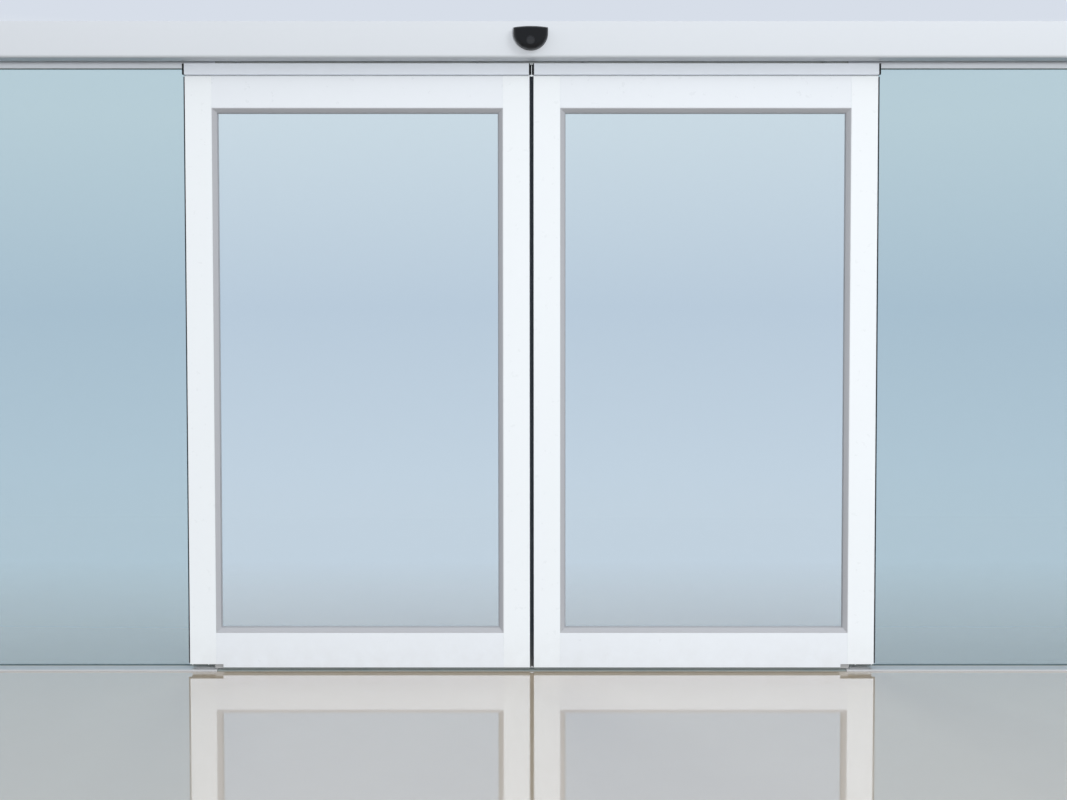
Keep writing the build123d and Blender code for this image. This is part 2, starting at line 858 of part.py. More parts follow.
def make_top_channel():
    section = window((sidelite_front, sidelite_back), (channel_bottom, channel_top))
    section -= window((slot_front, slot_back), (channel_bottom, channel_top - channel_web))
    return along_x(section, sill_start, jamb_inner)


def make_wall_jamb():
    """An upright channel that holds the glass's outer edge, screwed to the wall through its web."""
    section = window((jamb_inner, jamb_outer), (sidelite_front, sidelite_back))
    section -= window((jamb_inner, jamb_inner + jamb_slot), (slot_front, slot_back))
    jamb = along_z(section, sill_height, channel_top)
    middle = (sill_height + channel_top) / 2
    depth = (sidelite_front + sidelite_back) / 2
    for side in (-1, 1):
        at = Plane.YZ.offset(jamb_inner) * Pos(depth, middle + side * jamb_hole_spacing / 2)
        jamb -= extrude(at * Circle(jamb_hole_radius), amount=jamb_width + 1)
    return jamb


def make_edge_trim():
    """A profile round the sidelite glass's leading edge, behind the leaf's trailing stile."""
    end = trim_start + trim_width
    section = window((trim_start, end), (sidelite_front, sidelite_back))
    section -= window((pane_edge, end), (pane_front, pane_back))
    return along_z(section, sill_height, channel_bottom)


def make_floor_sill():
    """A low sill under the sidelite, with a bevelled front edge and a recess for the glass."""
    section = outline(
        (sill_front, 0), (sill_back, 0), (sill_back, sill_height),
        (sill_front + sill_front_bevel, sill_height), (sill_front, sill_height - sill_front_bevel),
    )
    section -= window((slot_front, slot_back), (pane_bottom, sill_height + 1))
    return along_x(section, sill_start, jamb_outer)


def make_sidelite_gaskets():
    """Rubber strips on both faces of the glass, and the brush that wipes the leaf's back."""
    proud = sidelite_gasket_proud
    end = trim_start + trim_width
    strips = []
    for front in (slot_front, pane_back):
        depth = (front, front + gasket_thickness)
        run = (end, jamb_inner - proud)
        top = channel_bottom - proud + sidelite_gasket_height
        strips.append(block(run, depth, (channel_bottom - proud, top)))
        strips.append(block(run, depth, (pane_bottom, sill_height + sill_gasket_proud)))
        strips.append(block((jamb_inner - proud, pane_outer), depth, (pane_bottom, channel_bottom)))
    brush_front = leaf_back + seal_running_gap
    middle = (trim_start + pane_edge) / 2
    strips.append(block(
        (middle - brush_hair_width / 2, middle + brush_hair_width / 2), (brush_front, sidelite_front),
        (sill_height + sill_gasket_proud, channel_bottom),
    ))
    return strips


# Floor guides at the leaves' outer lower corners.
def make_floor_guide():
    """A plate on the sill whose tongue reaches past the sill's end and carries the block."""
    start = sill_start + guide_plate_lead
    half, tongue = guide_plate_width / 2, guide_tongue_thickness / 2
    plate = block(
        (start, start + guide_plate_length), (leaf_mid - half, leaf_mid + half),
        (sill_height, sill_height + guide_plate_thickness),
    )
    return plate + block(
        (start - guide_tongue_reach, start), (leaf_mid - tongue, leaf_mid + tongue),
        (sill_height, sill_height + guide_tongue_height),
    )


def make_guide_block():
    start = sill_start + guide_plate_lead - guide_tongue_reach
    half, tongue = guide_block_width / 2, guide_tongue_thickness / 2
    low = sill_height + guide_block_lift
    end = start - guide_block_wall + guide_block_length
    slot_top = sill_height + guide_tongue_height
    body = block(
        (start - guide_block_wall, end), (leaf_mid - half, leaf_mid + half),
        (low, low + guide_block_height),
    )
    return body - block((start, end + 1), (leaf_mid - tongue, leaf_mid + tongue), (low - 1, slot_top))


def solids_of(pieces):
    """One shape or a list of shapes as a flat list of solids."""
    shapes = pieces if isinstance(pieces, list) else [pieces]
    return [solid for shape in shapes for solid in shape.solids()]


nodes = {}


def keep(name, pieces):
    nodes[name] = solids_of(pieces)


def keep_pair(name, pieces):
    """The right-hand piece and its mirror image on the left."""
    right = solids_of(pieces)
    nodes[name + "_right"] = right
    nodes[name + "_left"] = [mirror(solid, Plane.YZ) for solid in right]


def keep_both(name, pieces):
    """The right-hand pieces and their mirror images together."""
    right = solids_of(pieces)
    nodes[name] = right + [mirror(solid, Plane.YZ) for solid in right]


keep("header_beam", make_header_beam())
keep("running_rail", make_running_rail())
keep_both("header_end_caps", make_end_cap())
keep("header_cover", make_header_cover())
keep("sensor_housing", make_sensor_housing())
keep("sensor_window", make_sensor_window())
keep("motor_gearbox", make_gearbox())
keep("drive_motor", make_motor())
keep("drive_pulley", make_drive_pulley())
keep("idler_bracket", make_idler_bracket())
keep("idler_pulley", make_idler_pulley())
keep("toothed_belt", make_belt())
keep("control_unit", make_control_unit())
keep("power_supply", make_power_supply())
keep("end_stops", make_end_stops())

keep_pair("sidelite_glass", make_sidelite_glass())
keep_both("top_channels", make_top_channel())
keep_pair("wall_jamb", make_wall_jamb())
keep_pair("floor_sill", make_floor_sill())
keep_both("sidelite_edge_trims", make_edge_trim())
keep_both("sidelite_gaskets", make_sidelite_gaskets())
keep_both("floor_guides", make_floor_guide())
keep_both("guide_blocks", make_guide_block())

keep_pair("leaf_glass", make_leaf_glass())
keep_pair("leading_stile", make_stile(leaf_inner, 1))
keep_pair("trailing_stile", make_stile(leaf_outer, -1))
keep_pair("top_rail", make_top_rail())
keep_pair("bottom_rail", make_bottom_rail())
keep_pair("glazing_beads", make_glazing_beads())
keep_pair("glazing_gaskets", make_glazing_gaskets())
keep_pair("meeting_seal", make_meeting_seal())
keep_pair("trailing_seal", make_trailing_seal())
keep_pair("brush_strips", make_brush_strips())
keep_pair("carrier_profile", make_carrier_profile())
keep_pair("carrier_caps", make_carrier_caps())
keep_pair("hangers", [make_hanger(x) for x in hanger_places])
keep_pair("hanger_bolts", make_hanger_bolts())
for place, x in zip(("inner", "outer"), hanger_places):
    keep_pair("wheel_" + place, make_wheel(x))

belt_middle = belt_inner_radius + belt_thickness / 2
keep("belt_clamp_right", make_belt_clamp(clamp_place, pulley_height + belt_middle))
keep("belt_clamp_left", make_belt_clamp(-clamp_place, pulley_height - belt_middle))

os.makedirs("parts", exist_ok=True)
for name, solids in nodes.items():
    shape = solids[0] if len(solids) == 1 else Compound(children=solids)
    shape.label = name
    export_step(shape, "parts/" + name + ".step")
print(len(nodes), "pieces")
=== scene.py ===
# %% [markdown]
# # A sliding glass entrance door
# Two glazed leaves hang on wheels from a long header, and each slides away in front of a fixed
# glass sidelite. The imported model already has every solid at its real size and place, in metres.
# This notebook dresses it: each visible surface gets a finish of its own, and the pieces that a
# solid only stands for are made again in full.

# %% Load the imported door
import math

import bmesh
import bpy
import numpy as np
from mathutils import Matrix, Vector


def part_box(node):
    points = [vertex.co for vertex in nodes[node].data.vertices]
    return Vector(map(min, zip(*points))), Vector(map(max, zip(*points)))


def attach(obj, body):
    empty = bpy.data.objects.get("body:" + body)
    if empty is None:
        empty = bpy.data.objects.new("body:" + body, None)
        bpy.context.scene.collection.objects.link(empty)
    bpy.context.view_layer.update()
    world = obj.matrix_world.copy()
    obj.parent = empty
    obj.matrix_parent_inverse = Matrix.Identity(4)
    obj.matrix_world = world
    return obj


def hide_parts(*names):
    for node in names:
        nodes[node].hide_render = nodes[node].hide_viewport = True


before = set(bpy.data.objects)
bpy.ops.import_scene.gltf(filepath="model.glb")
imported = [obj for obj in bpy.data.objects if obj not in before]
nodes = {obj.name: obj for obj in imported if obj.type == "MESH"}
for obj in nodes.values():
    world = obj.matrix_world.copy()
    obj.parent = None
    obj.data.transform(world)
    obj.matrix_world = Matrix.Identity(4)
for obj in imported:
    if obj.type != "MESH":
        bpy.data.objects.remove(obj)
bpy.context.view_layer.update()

# %% [markdown]
# ## The camera
# The photograph was taken from standing height, almost square to the door, with a lens a little
# wider than normal. A camera that looks down by less than two degrees keeps the stiles nearly
# upright. The small shift does what a shift lens does: it moves the frame without tilting the
# camera any further.

# %% Set the camera
EYE = (0.097, -4.466, 1.5439)
LOOK_DOWN = 1.79
LENS = 41.02
SHIFT = (-0.0228, -0.0972)


def make_camera():
    """A camera at eye height that looks along +Y, turned down by a small angle."""
    data = bpy.data.cameras.new("eye")
    data.lens = LENS
    data.shift_x, data.shift_y = SHIFT
    camera = bpy.data.objects.new("eye", data)
    camera.location = EYE
    camera.rotation_euler = (math.radians(90 - LOOK_DOWN), 0, 0)
    bpy.context.scene.collection.objects.link(camera)
    return camera


bpy.context.scene.camera = make_camera()
print("camera:", LENS, "mm lens at", EYE)

# %% [markdown]
# ## Small tools for shaders
# A finish is a small network of nodes. Written out call by call it is long and hard to read, so one
# helper makes a node, sets its own settings, and fills or connects its sockets. Colours are written
# as screen values from 0 to 255 and turned into the linear values that light is counted in.

# %% Helpers for nodes and groups
def paint(red, green, blue):
    """Screen values as a linear colour: the screen's curve, undone for each channel."""
    value = np.array([red, green, blue]) / 255
    linear = np.where(value <= 0.04045, value / 12.92, ((value + 0.055) / 1.055) ** 2.4)
    return (*linear.tolist(), 1.0)


def fill(tree, made, sockets):
    """Gives each named socket a plain value, or the output that feeds it."""
    for name, value in sockets.items():
        if isinstance(value, bpy.types.NodeSocket):
            tree.links.new(value, made.inputs[name])
        else:
            made.inputs[name].default_value = value
    return made


def node(tree, kind, sockets=None, **settings):
    """One shader node with its settings and sockets."""
    made = tree.nodes.new("ShaderNode" + kind)
    for name, value in settings.items():
        setattr(made, name, value)
    return fill(tree, made, sockets or {})


def maths(tree, operation, *values):
    """A Math node's result, from two or three numbers or outputs."""
    return node(tree, "Math", dict(enumerate(values)), operation=operation).outputs[0]


def mix_colour(tree, share, first, second):
    """Two colours mixed by a share from 0 to 1."""
    return node(tree, "Mix", {0: share, 6: first, 7: second}, data_type="RGBA").outputs[2]


def noise(tree, place, scale, detail=2.0, roughness=0.5):
    """Soft noise from 0 to 1, with so many lumps to a metre."""
    sockets = {"Vector": place, "Scale": scale, "Detail": detail, "Roughness": roughness}
    return node(tree, "TexNoise", sockets).outputs["Fac"]


def remap(tree, value, low, high, new_low, new_high):
    """A value's range moved to another, and held at both ends."""
    sockets = {"Value": value, "From Min": low, "From Max": high, "To Min": new_low, "To Max": new_high}
    return node(tree, "MapRange", sockets).outputs[0]


def scaled(tree, vector, by):
    """A vector or a colour times a number."""
    return node(tree, "VectorMath", {0: vector, "Scale": by}, operation="SCALE").outputs[0]


print("half way up the screen's scale is", round(paint(128, 128, 128)[0], 3), "of full light")

# %% Helpers for shader groups
SOCKETS = {"number": "NodeSocketFloat", "colour": "NodeSocketColor", "vector": "NodeSocketVector"}


def start_group(name, inputs, outputs):
    """A shader group with named sockets. inputs: name to (kind, usual value); outputs: name to kind."""
    group = bpy.data.node_groups.new(name, "ShaderNodeTree")
    for label, (kind, usual) in inputs.items():
        socket = group.interface.new_socket(label, in_out="INPUT", socket_type=SOCKETS[kind])
        if usual is not None:
            socket.default_value = usual
    for label, kind in outputs.items():
        group.interface.new_socket(label, in_out="OUTPUT", socket_type=SOCKETS[kind])
    return group, group.nodes.new("NodeGroupInput").outputs


def end_group(group, results):
    """Connects a group's results to its output sockets."""
    fill(group, group.nodes.new("NodeGroupOutput"), results)
    print("shader group:", group.name, "puts out", ", ".join(results))
    return group


def use(tree, group, sockets):
    """A group placed in a material with its own values."""
    made = tree.nodes.new("ShaderNodeGroup")
    made.node_tree = group
    return fill(tree, made, sockets).outputs


print("kinds of socket:", ", ".join(SOCKETS))

# %% [markdown]
# ## What real surfaces share
# Powder coat, anodised aluminium, zinc, moulded plastic and rubber differ in colour, but the same
# few effects make them look real: a skin that is never quite one shade, drawn lines along an
# extrusion, a fine moulded grain, dust that settles on what faces up, and edges that hands and
# tools have rubbed. Each effect is a shader group, built once and placed in every finish with that
# finish's own values. Heights are in metres, so that a bump has a real depth.

# %% Group: skin
def make_skin_group():
    """Slow clouds change the shade and the gloss; fine lumps of a given size make the height."""
    group, given = start_group(
        "Skin",
        {"Place": ("vector", None), "Colour": ("colour", (0.8, 0.8, 0.8, 1)), "Shade": ("number", 0.03),
         "Gloss low": ("number", 0.3), "Gloss high": ("number", 0.4), "Lumps": ("number", 450.0),
         "Depth": ("number", 1e-5)},
        {"Colour": "colour", "Roughness": "number", "Height": "number"},
    )
    clouds = noise(group, given["Place"], 2.3, 3.0)
    patches = noise(group, given["Place"], 31.0, 4.0, 0.62)
    both = maths(group, "ADD", clouds, patches)
    swing = maths(group, "MULTIPLY", maths(group, "SUBTRACT", both, 1.0), given["Shade"])
    colour = scaled(group, given["Colour"], maths(group, "ADD", swing, 1.0))
    gloss = remap(group, patches, 0.3, 0.7, given["Gloss low"], given["Gloss high"])
    lumps = noise(group, given["Place"], given["Lumps"], 1.0)
    height = maths(group, "MULTIPLY", lumps, given["Depth"])
    return end_group(group, {"Colour": colour, "Roughness": gloss, "Height": height})


skin_group = make_skin_group()

# %% Group: drawn lines
def make_lines_group():
    """Noise that is stretched along one axis: fine die lines on an extrusion or a brushed sheet."""
    group, given = start_group(
        "Drawn lines",
        {"Place": ("vector", None), "Lumps": ("vector", (1.5, 900.0, 900.0)), "Depth": ("number", 4e-6)},
        {"Lines": "number", "Height": "number"},
    )
    stretched = node(group, "VectorMath", {0: given["Place"], 1: given["Lumps"]}, operation="MULTIPLY")
    lines = noise(group, stretched.outputs[0], 1.0, 3.0, 0.6)
    return end_group(group, {"Lines": lines, "Height": maths(group, "MULTIPLY", lines, given["Depth"])})


lines_group = make_lines_group()

# %% Group: moulded grain
def make_grain_group():
    """Rounded cells, as an etched mould leaves on plastic and rubber."""
    group, given = start_group(
        "Moulded grain",
        {"Place": ("vector", None), "Cells": ("number", 1300.0), "Depth": ("number", 1.5e-5)},
        {"Height": "number"},
    )
    sockets = {"Vector": given["Place"], "Scale": given["Cells"], "Smoothness": 0.7}
    cells = node(group, "TexVoronoi", sockets, feature="SMOOTH_F1").outputs["Distance"]
    return end_group(group, {"Height": maths(group, "MULTIPLY", cells, given["Depth"])})


grain_group = make_grain_group()

# %% Group: settled dust
def make_dust_group():
    """A thin grey film on what faces up, and a splash line close to the floor, both broken up by
    noise."""
    group, given = start_group(
        "Settled dust",
        {"Colour": ("colour", (0.8, 0.8, 0.8, 1)), "Roughness": ("number", 0.3), "Amount": ("number", 0.2),
         "Dust": ("colour", paint(176, 170, 160))},
        {"Colour": "colour", "Roughness": "number"},
    )
    seen = node(group, "TexCoord").outputs
    up = node(group, "SeparateXYZ", {0: seen["Normal"]}).outputs[2]
    high = node(group, "SeparateXYZ", {0: seen["Object"]}).outputs[2]
    shelf = remap(group, up, 0.55, 0.98, 0.0, 1.0)
    splash = remap(group, high, 0.0, 0.16, 0.7, 0.0)
    where = maths(group, "MAXIMUM", shelf, splash)
    broken = remap(group, noise(group, seen["Object"], 19.0, 5.0, 0.65), 0.35, 0.7, 0.25, 1.0)
    film = maths(group, "MULTIPLY", maths(group, "MULTIPLY", where, broken), given["Amount"])
    colour = mix_colour(group, film, given["Colour"], given["Dust"])
    rough = maths(group, "MULTIPLY_ADD", film, 0.4, given["Roughness"])
    return end_group(group, {"Colour": colour, "Roughness": rough})


dust_group = make_dust_group()

# %% Group: rubbed edges
def make_edges_group():
    """Where a bevelled normal leaves the true one, there is an edge: 1 on it, 0 on a flat face."""
    group, given = start_group(
        "Rubbed edges",
        {"Place": ("vector", None), "Width": ("number", 0.0012), "Amount": ("number", 0.6)},
        {"Mask": "number"},
    )
    eased = node(group, "Bevel", {"Radius": given["Width"]}, samples=4).outputs[0]
    true = node(group, "NewGeometry").outputs["Normal"]
    along = node(group, "VectorMath", {0: eased, 1: true}, operation="DOT_PRODUCT").outputs["Value"]
    edge = remap(group, along, 0.998, 0.93, 0.0, 1.0)
    broken = remap(group, noise(group, given["Place"], 140.0, 3.0), 0.35, 0.6, 0.2, 1.0)
    mask = maths(group, "MULTIPLY", maths(group, "MULTIPLY", edge, broken), given["Amount"])
    return end_group(group, {"Mask": mask})


edges_group = make_edges_group()

# %% [markdown]
# ## The finishes
# A finish is the Principled shader, fed by the groups above. Most of the door is one of four
# things: satin powder coat, anodised or mill aluminium, zinc plated steel, and moulded plastic or
# rubber. So one function builds them all, and the table below it says how they differ. What is the
# same all over a surface is set on the shader's own socket; only what changes over the surface
# comes through a node.

# %% One function for opaque finishes
finishes, slots = {}, {}


def start_finish(name, slot):
    """An empty material with a shader and its output, filed under its name and the record's slot."""
    material = bpy.data.materials.new(name)
    material.use_nodes = True
    tree = material.node_tree
    tree.nodes.clear()
    shader = node(tree, "BsdfPrincipled")
    out = node(tree, "OutputMaterial", {"Surface": shader.outputs[0]})
    finishes[name], slots[name] = material, slot
    return tree, shader, out


def make_finish(name, slot, colour, gloss, metal=0.0, shade=0.03, lumps=(450.0, 1e-5), lines=None,
                grain=None, dust=0.15, rubbed=None, **plain):
    """Skin, then drawn lines, grain, dust and rubbed edges where the finish has them."""
    tree, shader, _ = start_finish(name, slot)
    place = node(tree, "TexCoord").outputs["Object"]
    skin = use(tree, skin_group, {
        "Place": place, "Colour": paint(*colour), "Shade": shade, "Gloss low": gloss[0],
        "Gloss high": gloss[1], "Lumps": lumps[0], "Depth": lumps[1],
    })
    hue, rough, height = skin["Colour"], skin["Roughness"], skin["Height"]
    if lines:
        drawn = use(tree, lines_group, {"Place": place, "Lumps": lines[0], "Depth": lines[1]})
        height = maths(tree, "ADD", height, drawn["Height"])
        rough = maths(tree, "ADD", rough, remap(tree, drawn["Lines"], 0.3, 0.7, -0.05, 0.05))
    if grain:
        cells = use(tree, grain_group, {"Place": place, "Cells": grain[0], "Depth": grain[1]})
        height = maths(tree, "ADD", height, cells["Height"])
    dusty = use(tree, dust_group, {"Colour": hue, "Roughness": rough, "Amount": dust})
    hue, rough = dusty["Colour"], dusty["Roughness"]
    if rubbed:
        edge = use(tree, edges_group, {"Place": place, "Amount": rubbed[0]})
        hue = mix_colour(tree, edge["Mask"], hue, paint(*rubbed[1]))
    normal = node(tree, "Bump", {"Height": height, "Distance": 1.0}).outputs[0]
    fill(tree, shader, {"Base Color": hue, "Roughness": rough, "Normal": normal, "Metallic": metal, **plain})

# %% The table of opaque finishes
ALONG_X, ALONG_Z = (1.2, 950.0, 950.0), (950.0, 950.0, 1.2)
# RAIL_PAINTED_SHADE is the stiles' white powder coat painted a little darker: painted shade on the rails,
# which have the same coat.
WHITE, RAIL_PAINTED_SHADE, HEADER, SILVER = (237, 242, 246), (232, 237, 243), (216, 221, 227), (238, 243, 250)

COAT = {"gloss": (0.26, 0.36), "shade": 0.018, "lumps": (420.0, 9e-6), "dust": 0.22}
TRIM = {"gloss": (0.3, 0.4), "dust": 0.2}
SOFT = {"gloss": (0.5, 0.65), "lumps": (900.0, 2e-5)}
HAIR = {"gloss": (0.6, 0.75), "lines": (ALONG_Z, 1e-5)}
FINISHES = {  # name: (slot, colour, the rest of what differs)
    "leaf coat": ("leaf_paint", WHITE, COAT),
    "rail coat with painted shade": ("leaf_paint", RAIL_PAINTED_SHADE, COAT),
    "header coat": ("header_paint", HEADER, COAT | {"gloss": (0.3, 0.4), "shade": 0.02, "dust": 0.3}),
    "bead coat": ("bead_aluminium", (180, 182, 187), {"gloss": (0.32, 0.42), "lumps": (420.0, 9e-6)}),
    "carrier coat": ("anodised_trim", (236, 242, 250), TRIM | {"metal": 0.1, "lines": (ALONG_X, 2e-6)}),
    "anodised along x": ("anodised_trim", SILVER, TRIM | {"metal": 0.2, "lines": (ALONG_X, 3e-6)}),
    "anodised upright": ("anodised_trim", SILVER, TRIM | {"metal": 0.2, "lines": (ALONG_Z, 3e-6)}),
    "sill metal": ("anodised_trim", (212, 213, 214), {
        "gloss": (0.3, 0.36), "metal": 0.4, "shade": 0.01, "lines": (ALONG_X, 6e-7), "dust": 0.05}),
    "mill aluminium": ("mill_aluminium", (186, 189, 192), {
        "gloss": (0.42, 0.55), "metal": 0.6, "shade": 0.06, "lines": (ALONG_X, 5e-6), "dust": 0.3}),
    "machined alloy": ("machined_alloy", (200, 202, 204), {
        "gloss": (0.2, 0.32), "metal": 0.95, "shade": 0.05, "lumps": (2600.0, 2e-6)}),
    "cast alloy": ("cast_alloy", (150, 152, 155), {
        "gloss": (0.45, 0.6), "metal": 0.7, "shade": 0.1, "lumps": (900.0, 4e-5), "dust": 0.3,
        "rubbed": (0.5, (196, 198, 200))}),
    "zinc plate": ("zinc_steel", (198, 200, 201), {
        "gloss": (0.24, 0.42), "metal": 0.9, "shade": 0.14, "lumps": (300.0, 6e-6),
        "rubbed": (0.35, (226, 227, 228))}),
    "dark enamel": ("dark_steel", (46, 47, 50), {
        "gloss": (0.3, 0.42), "shade": 0.12, "lumps": (600.0, 2e-5), "dust": 0.4,
        "rubbed": (0.5, (120, 121, 124))}),
    "black housing": ("black_plastic", (14, 15, 17), {
        "gloss": (0.3, 0.42), "shade": 0.08, "grain": (1500.0, 1.2e-5), "dust": 0.1,
        "Specular IOR Level": 0.28}),
    "dark casing": ("dark_plastic", (58, 60, 63), {
        "gloss": (0.4, 0.52), "shade": 0.06, "grain": (1200.0, 2e-5), "dust": 0.35,
        "rubbed": (0.25, (112, 114, 118))}),
    "nylon": ("guide_nylon", (168, 170, 172), {
        "gloss": (0.35, 0.46), "shade": 0.05, "lumps": (800.0, 1e-5), "dust": 0.35}),
    "sealing rubber": ("rubber", (44, 49, 55), {
        "gloss": (0.5, 0.66), "shade": 0.14, "lumps": (1500.0, 1e-5), "lines": (ALONG_Z, 8e-6),
        "dust": 0.3}),
    "pale rubber": ("rubber", (168, 173, 179), SOFT | {"shade": 0.08, "dust": 0.2}),
    "strip rubber": ("rubber", (128, 139, 139), SOFT | {"shade": 0.12, "dust": 0.3}),
    "belt rubber": ("belt_rubber", (38, 38, 40), {
        "gloss": (0.55, 0.7), "shade": 0.16, "grain": (2400.0, 2e-5), "dust": 0.35}),
    # The head brush's hair is the floor brushes' grey hair painted much paler: painted light in the shade
    # under the header.
    "bristle with painted light": ("brush_hair", (188, 192, 192), HAIR | {"shade": 0.2, "dust": 0.2}),
    "bristle": ("brush_hair", (122, 131, 132), HAIR | {"shade": 0.25, "dust": 0.3}),
    "sensor lens": ("dark_window", (9, 9, 12), {
        "gloss": (0.04, 0.09), "shade": 0.0, "lumps": (300.0, 1e-6), "dust": 0.05,
        "Coat Weight": 0.4, "Coat Roughness": 0.03}),
}
for name, (slot, colour, rest) in FINISHES.items():
    make_finish(name, slot, colour, **rest)
print("opaque finishes:", len(finishes))

# %% [markdown]
# ## Glass
# Clear float glass has a green cast that adds up with thickness, and the fixed panes here are
# tinted blue green. A real pane throws hardly any shadow, but a refracting shader blocks lamps, so
# for shadow rays alone the pane is swapped for plain transparency in the same tint. Finger marks
# and dried drops change nothing but the gloss.

# %% The two glasses
def make_glass(name, slot, tint, shadow):
    """Refracting glass whose roughness is broken by faint smears; shadow rays pass straight through."""
    tree, shader, out = start_finish(name, slot)
    place = node(tree, "TexCoord").outputs["Object"]
    smears = remap(tree, noise(tree, place, 6.0, 6.0, 0.7), 0.5, 0.8, 0.0, 0.035)
    fill(tree, shader, {
        "Base Color": paint(*tint), "Roughness": smears, "Transmission Weight": 1.0, "IOR": 1.5,
    })
    clear = node(tree, "BsdfTransparent", {"Color": paint(*shadow)}).outputs[0]
    rays = node(tree, "LightPath").outputs
    mixed = node(tree, "MixShader", {0: rays["Is Shadow Ray"], 1: shader.outputs[0], 2: clear})
    fill(tree, out, {"Surface": mixed.outputs[0]})


make_glass("leaf glass", "clear_glass", (219, 231, 238), (232, 240, 244))
make_glass("sidelite glass", "tinted_glass", (198, 217, 224), (211, 225, 230))
print("finishes:", len(finishes))

# %% [markdown]
# ## Light, background and floor
# The light is plain: a pale sky all round and three large soft lamps, so that a colour renders
# about as it is written. The background that the camera, a reflection or a pane sees is a separate
# pale value. The floor is a polished pale slab; it thins out with distance, so that no horizon line
# cuts across the glass.

# %% World
TOP, HIGH = paint(215, 222, 233), paint(233, 239, 243)
HORIZON, LOW = paint(214, 223, 234), paint(225, 232, 240)
SKY, GROUND = (0.70, 0.71, 0.73, 1.0), (0.09, 0.09, 0.08, 1.0)


def make_world():
    """A pale backdrop with a soft darker horizon for rays that look at it. The light that falls on
    things is a second gradient, pale from above and dull from below."""
    world = bpy.data.worlds.new("pale studio")
    world.use_nodes = True
    tree = world.node_tree
    tree.nodes.clear()
    rays = node(tree, "LightPath").outputs
    looks = maths(tree, "MAXIMUM", rays["Is Camera Ray"], rays["Is Transmission Ray"])
    looks = maths(tree, "MAXIMUM", looks, rays["Is Glossy Ray"])
    rise = node(tree, "SeparateXYZ", {0: node(tree, "TexCoord").outputs["Generated"]}).outputs[2]
    below = mix_colour(tree, remap(tree, rise, -0.2, -0.04, 0.0, 1.0), LOW, HORIZON)
    middle = mix_colour(tree, remap(tree, rise, -0.04, 0.11, 0.0, 1.0), below, HIGH)
    backdrop = mix_colour(tree, remap(tree, rise, 0.14, 0.18, 0.0, 1.0), middle, TOP)
    falling = mix_colour(tree, remap(tree, rise, -0.15, 0.4, 0.0, 1.0), GROUND, SKY)
    colour = mix_colour(tree, looks, falling, backdrop)
    light = node(tree, "Background", {"Color": colour})
    node(tree, "OutputWorld", {"Surface": light.outputs[0]})
    bpy.context.scene.world = world


make_world()
print("world:", bpy.context.scene.world.name)

# %% Lamps
def make_lamp(name, place, aim, size, power):
    """A square soft lamp that faces a point. It lights the scene but isn't seen itself: a bright
    square mirrored in the panes or the floor would hide what they show."""
    data = bpy.data.lights.new(name, "AREA")
    data.size, data.energy = size, power
    lamp = bpy.data.objects.new(name, data)
    lamp.location = place
    way = np.array(aim, float) - np.array(place, float)
    lamp.rotation_euler = (math.acos(-way[2] / np.linalg.norm(way)), 0, math.atan2(-way[0], way[1]))
    lamp.visible_camera = lamp.visible_transmission = lamp.visible_glossy = False
    bpy.context.scene.collection.objects.link(lamp)


for lamp in (("key", (7.0, -10.2, 8.2), (0, 0, 1.2), 4.2, 370),
             ("fill", (1.9, -12.0, 1.6), (0, 0, 1.4), 2.4, 870),
             ("back", (-2.5, 7.0, 5.5), (0, 0, 1.2), 4.0, 300)):
    make_lamp(*lamp)
bpy.context.scene.view_settings.view_transform = "Standard"
print("lamps:", len(bpy.data.lights))

# %% Floor
FLOOR_HALF = 9.0
FLOOR_BOUNCE = (0.09, 0.08, 0.065, 1.0)


def make_floor():
    """A flat slab of polished stone, in which the door mirrors softly. It fades out past a few metres
    and isn't seen from beneath. Light that it throws back at the door is that of a duller stone, so
    that undersides stay dark."""
    mesh = bpy.data.meshes.new("floor")
    mesh.from_pydata([(x * FLOOR_HALF, y * FLOOR_HALF, 0) for x, y in ((-1, -1), (1, -1), (1, 1), (-1, 1))],
                     [], [(0, 1, 2, 3)])
    tree, shader, out = start_finish("polished floor", None)
    place = node(tree, "TexCoord").outputs["Object"]
    veins = noise(tree, place, 1.6, 6.0, 0.6)
    hue = mix_colour(tree, veins, paint(214, 195, 168), paint(223, 206, 180))
    rough = remap(tree, noise(tree, place, 5.0, 3.0), 0.3, 0.7, 0.03, 0.07)
    fill(tree, shader, {
        "Base Color": hue, "Roughness": rough, "IOR": 6.4, "Specular Tint": (0.91, 0.94, 1.0, 1.0),
    })
    x, y, _ = node(tree, "SeparateXYZ", {0: place}).outputs
    wide = remap(tree, maths(tree, "ABSOLUTE", x), 3.4, 5.5, 0.0, 1.0)
    near = remap(tree, maths(tree, "MULTIPLY", y, -1.0), 2.2, 4.0, 0.0, 1.0)
    far = remap(tree, y, 0.25, 1.7, 0.0, 1.0)
    beneath = node(tree, "NewGeometry").outputs["Backfacing"]
    fade = maths(tree, "MAXIMUM", maths(tree, "MAXIMUM", near, far), maths(tree, "MAXIMUM", wide, beneath))
    bounced = node(tree, "LightPath").outputs["Is Diffuse Ray"]
    dull = node(tree, "BsdfDiffuse", {"Color": FLOOR_BOUNCE}).outputs[0]
    slab = node(tree, "MixShader", {0: bounced, 1: shader.outputs[0], 2: dull}).outputs[0]
    soft = node(tree, "MixShader", {0: fade, 1: slab, 2: node(tree, "BsdfTransparent").outputs[0]})
    fill(tree, out, {"Surface": soft.outputs[0]})
    mesh.materials.append(finishes["polished floor"])
    floor = bpy.data.objects.new("floor", mesh)
    bpy.context.scene.collection.objects.link(floor)


make_floor()
print("floor:", 2 * FLOOR_HALF, "m wide")

# %% [markdown]
# ## Finishes for the solids that stay
# A solid whose shape is right keeps its mesh, and only its material slots are assigned. The table
# says which finish each solid has, without its side; pieces that stand for a solid with eased edges
# read it too.

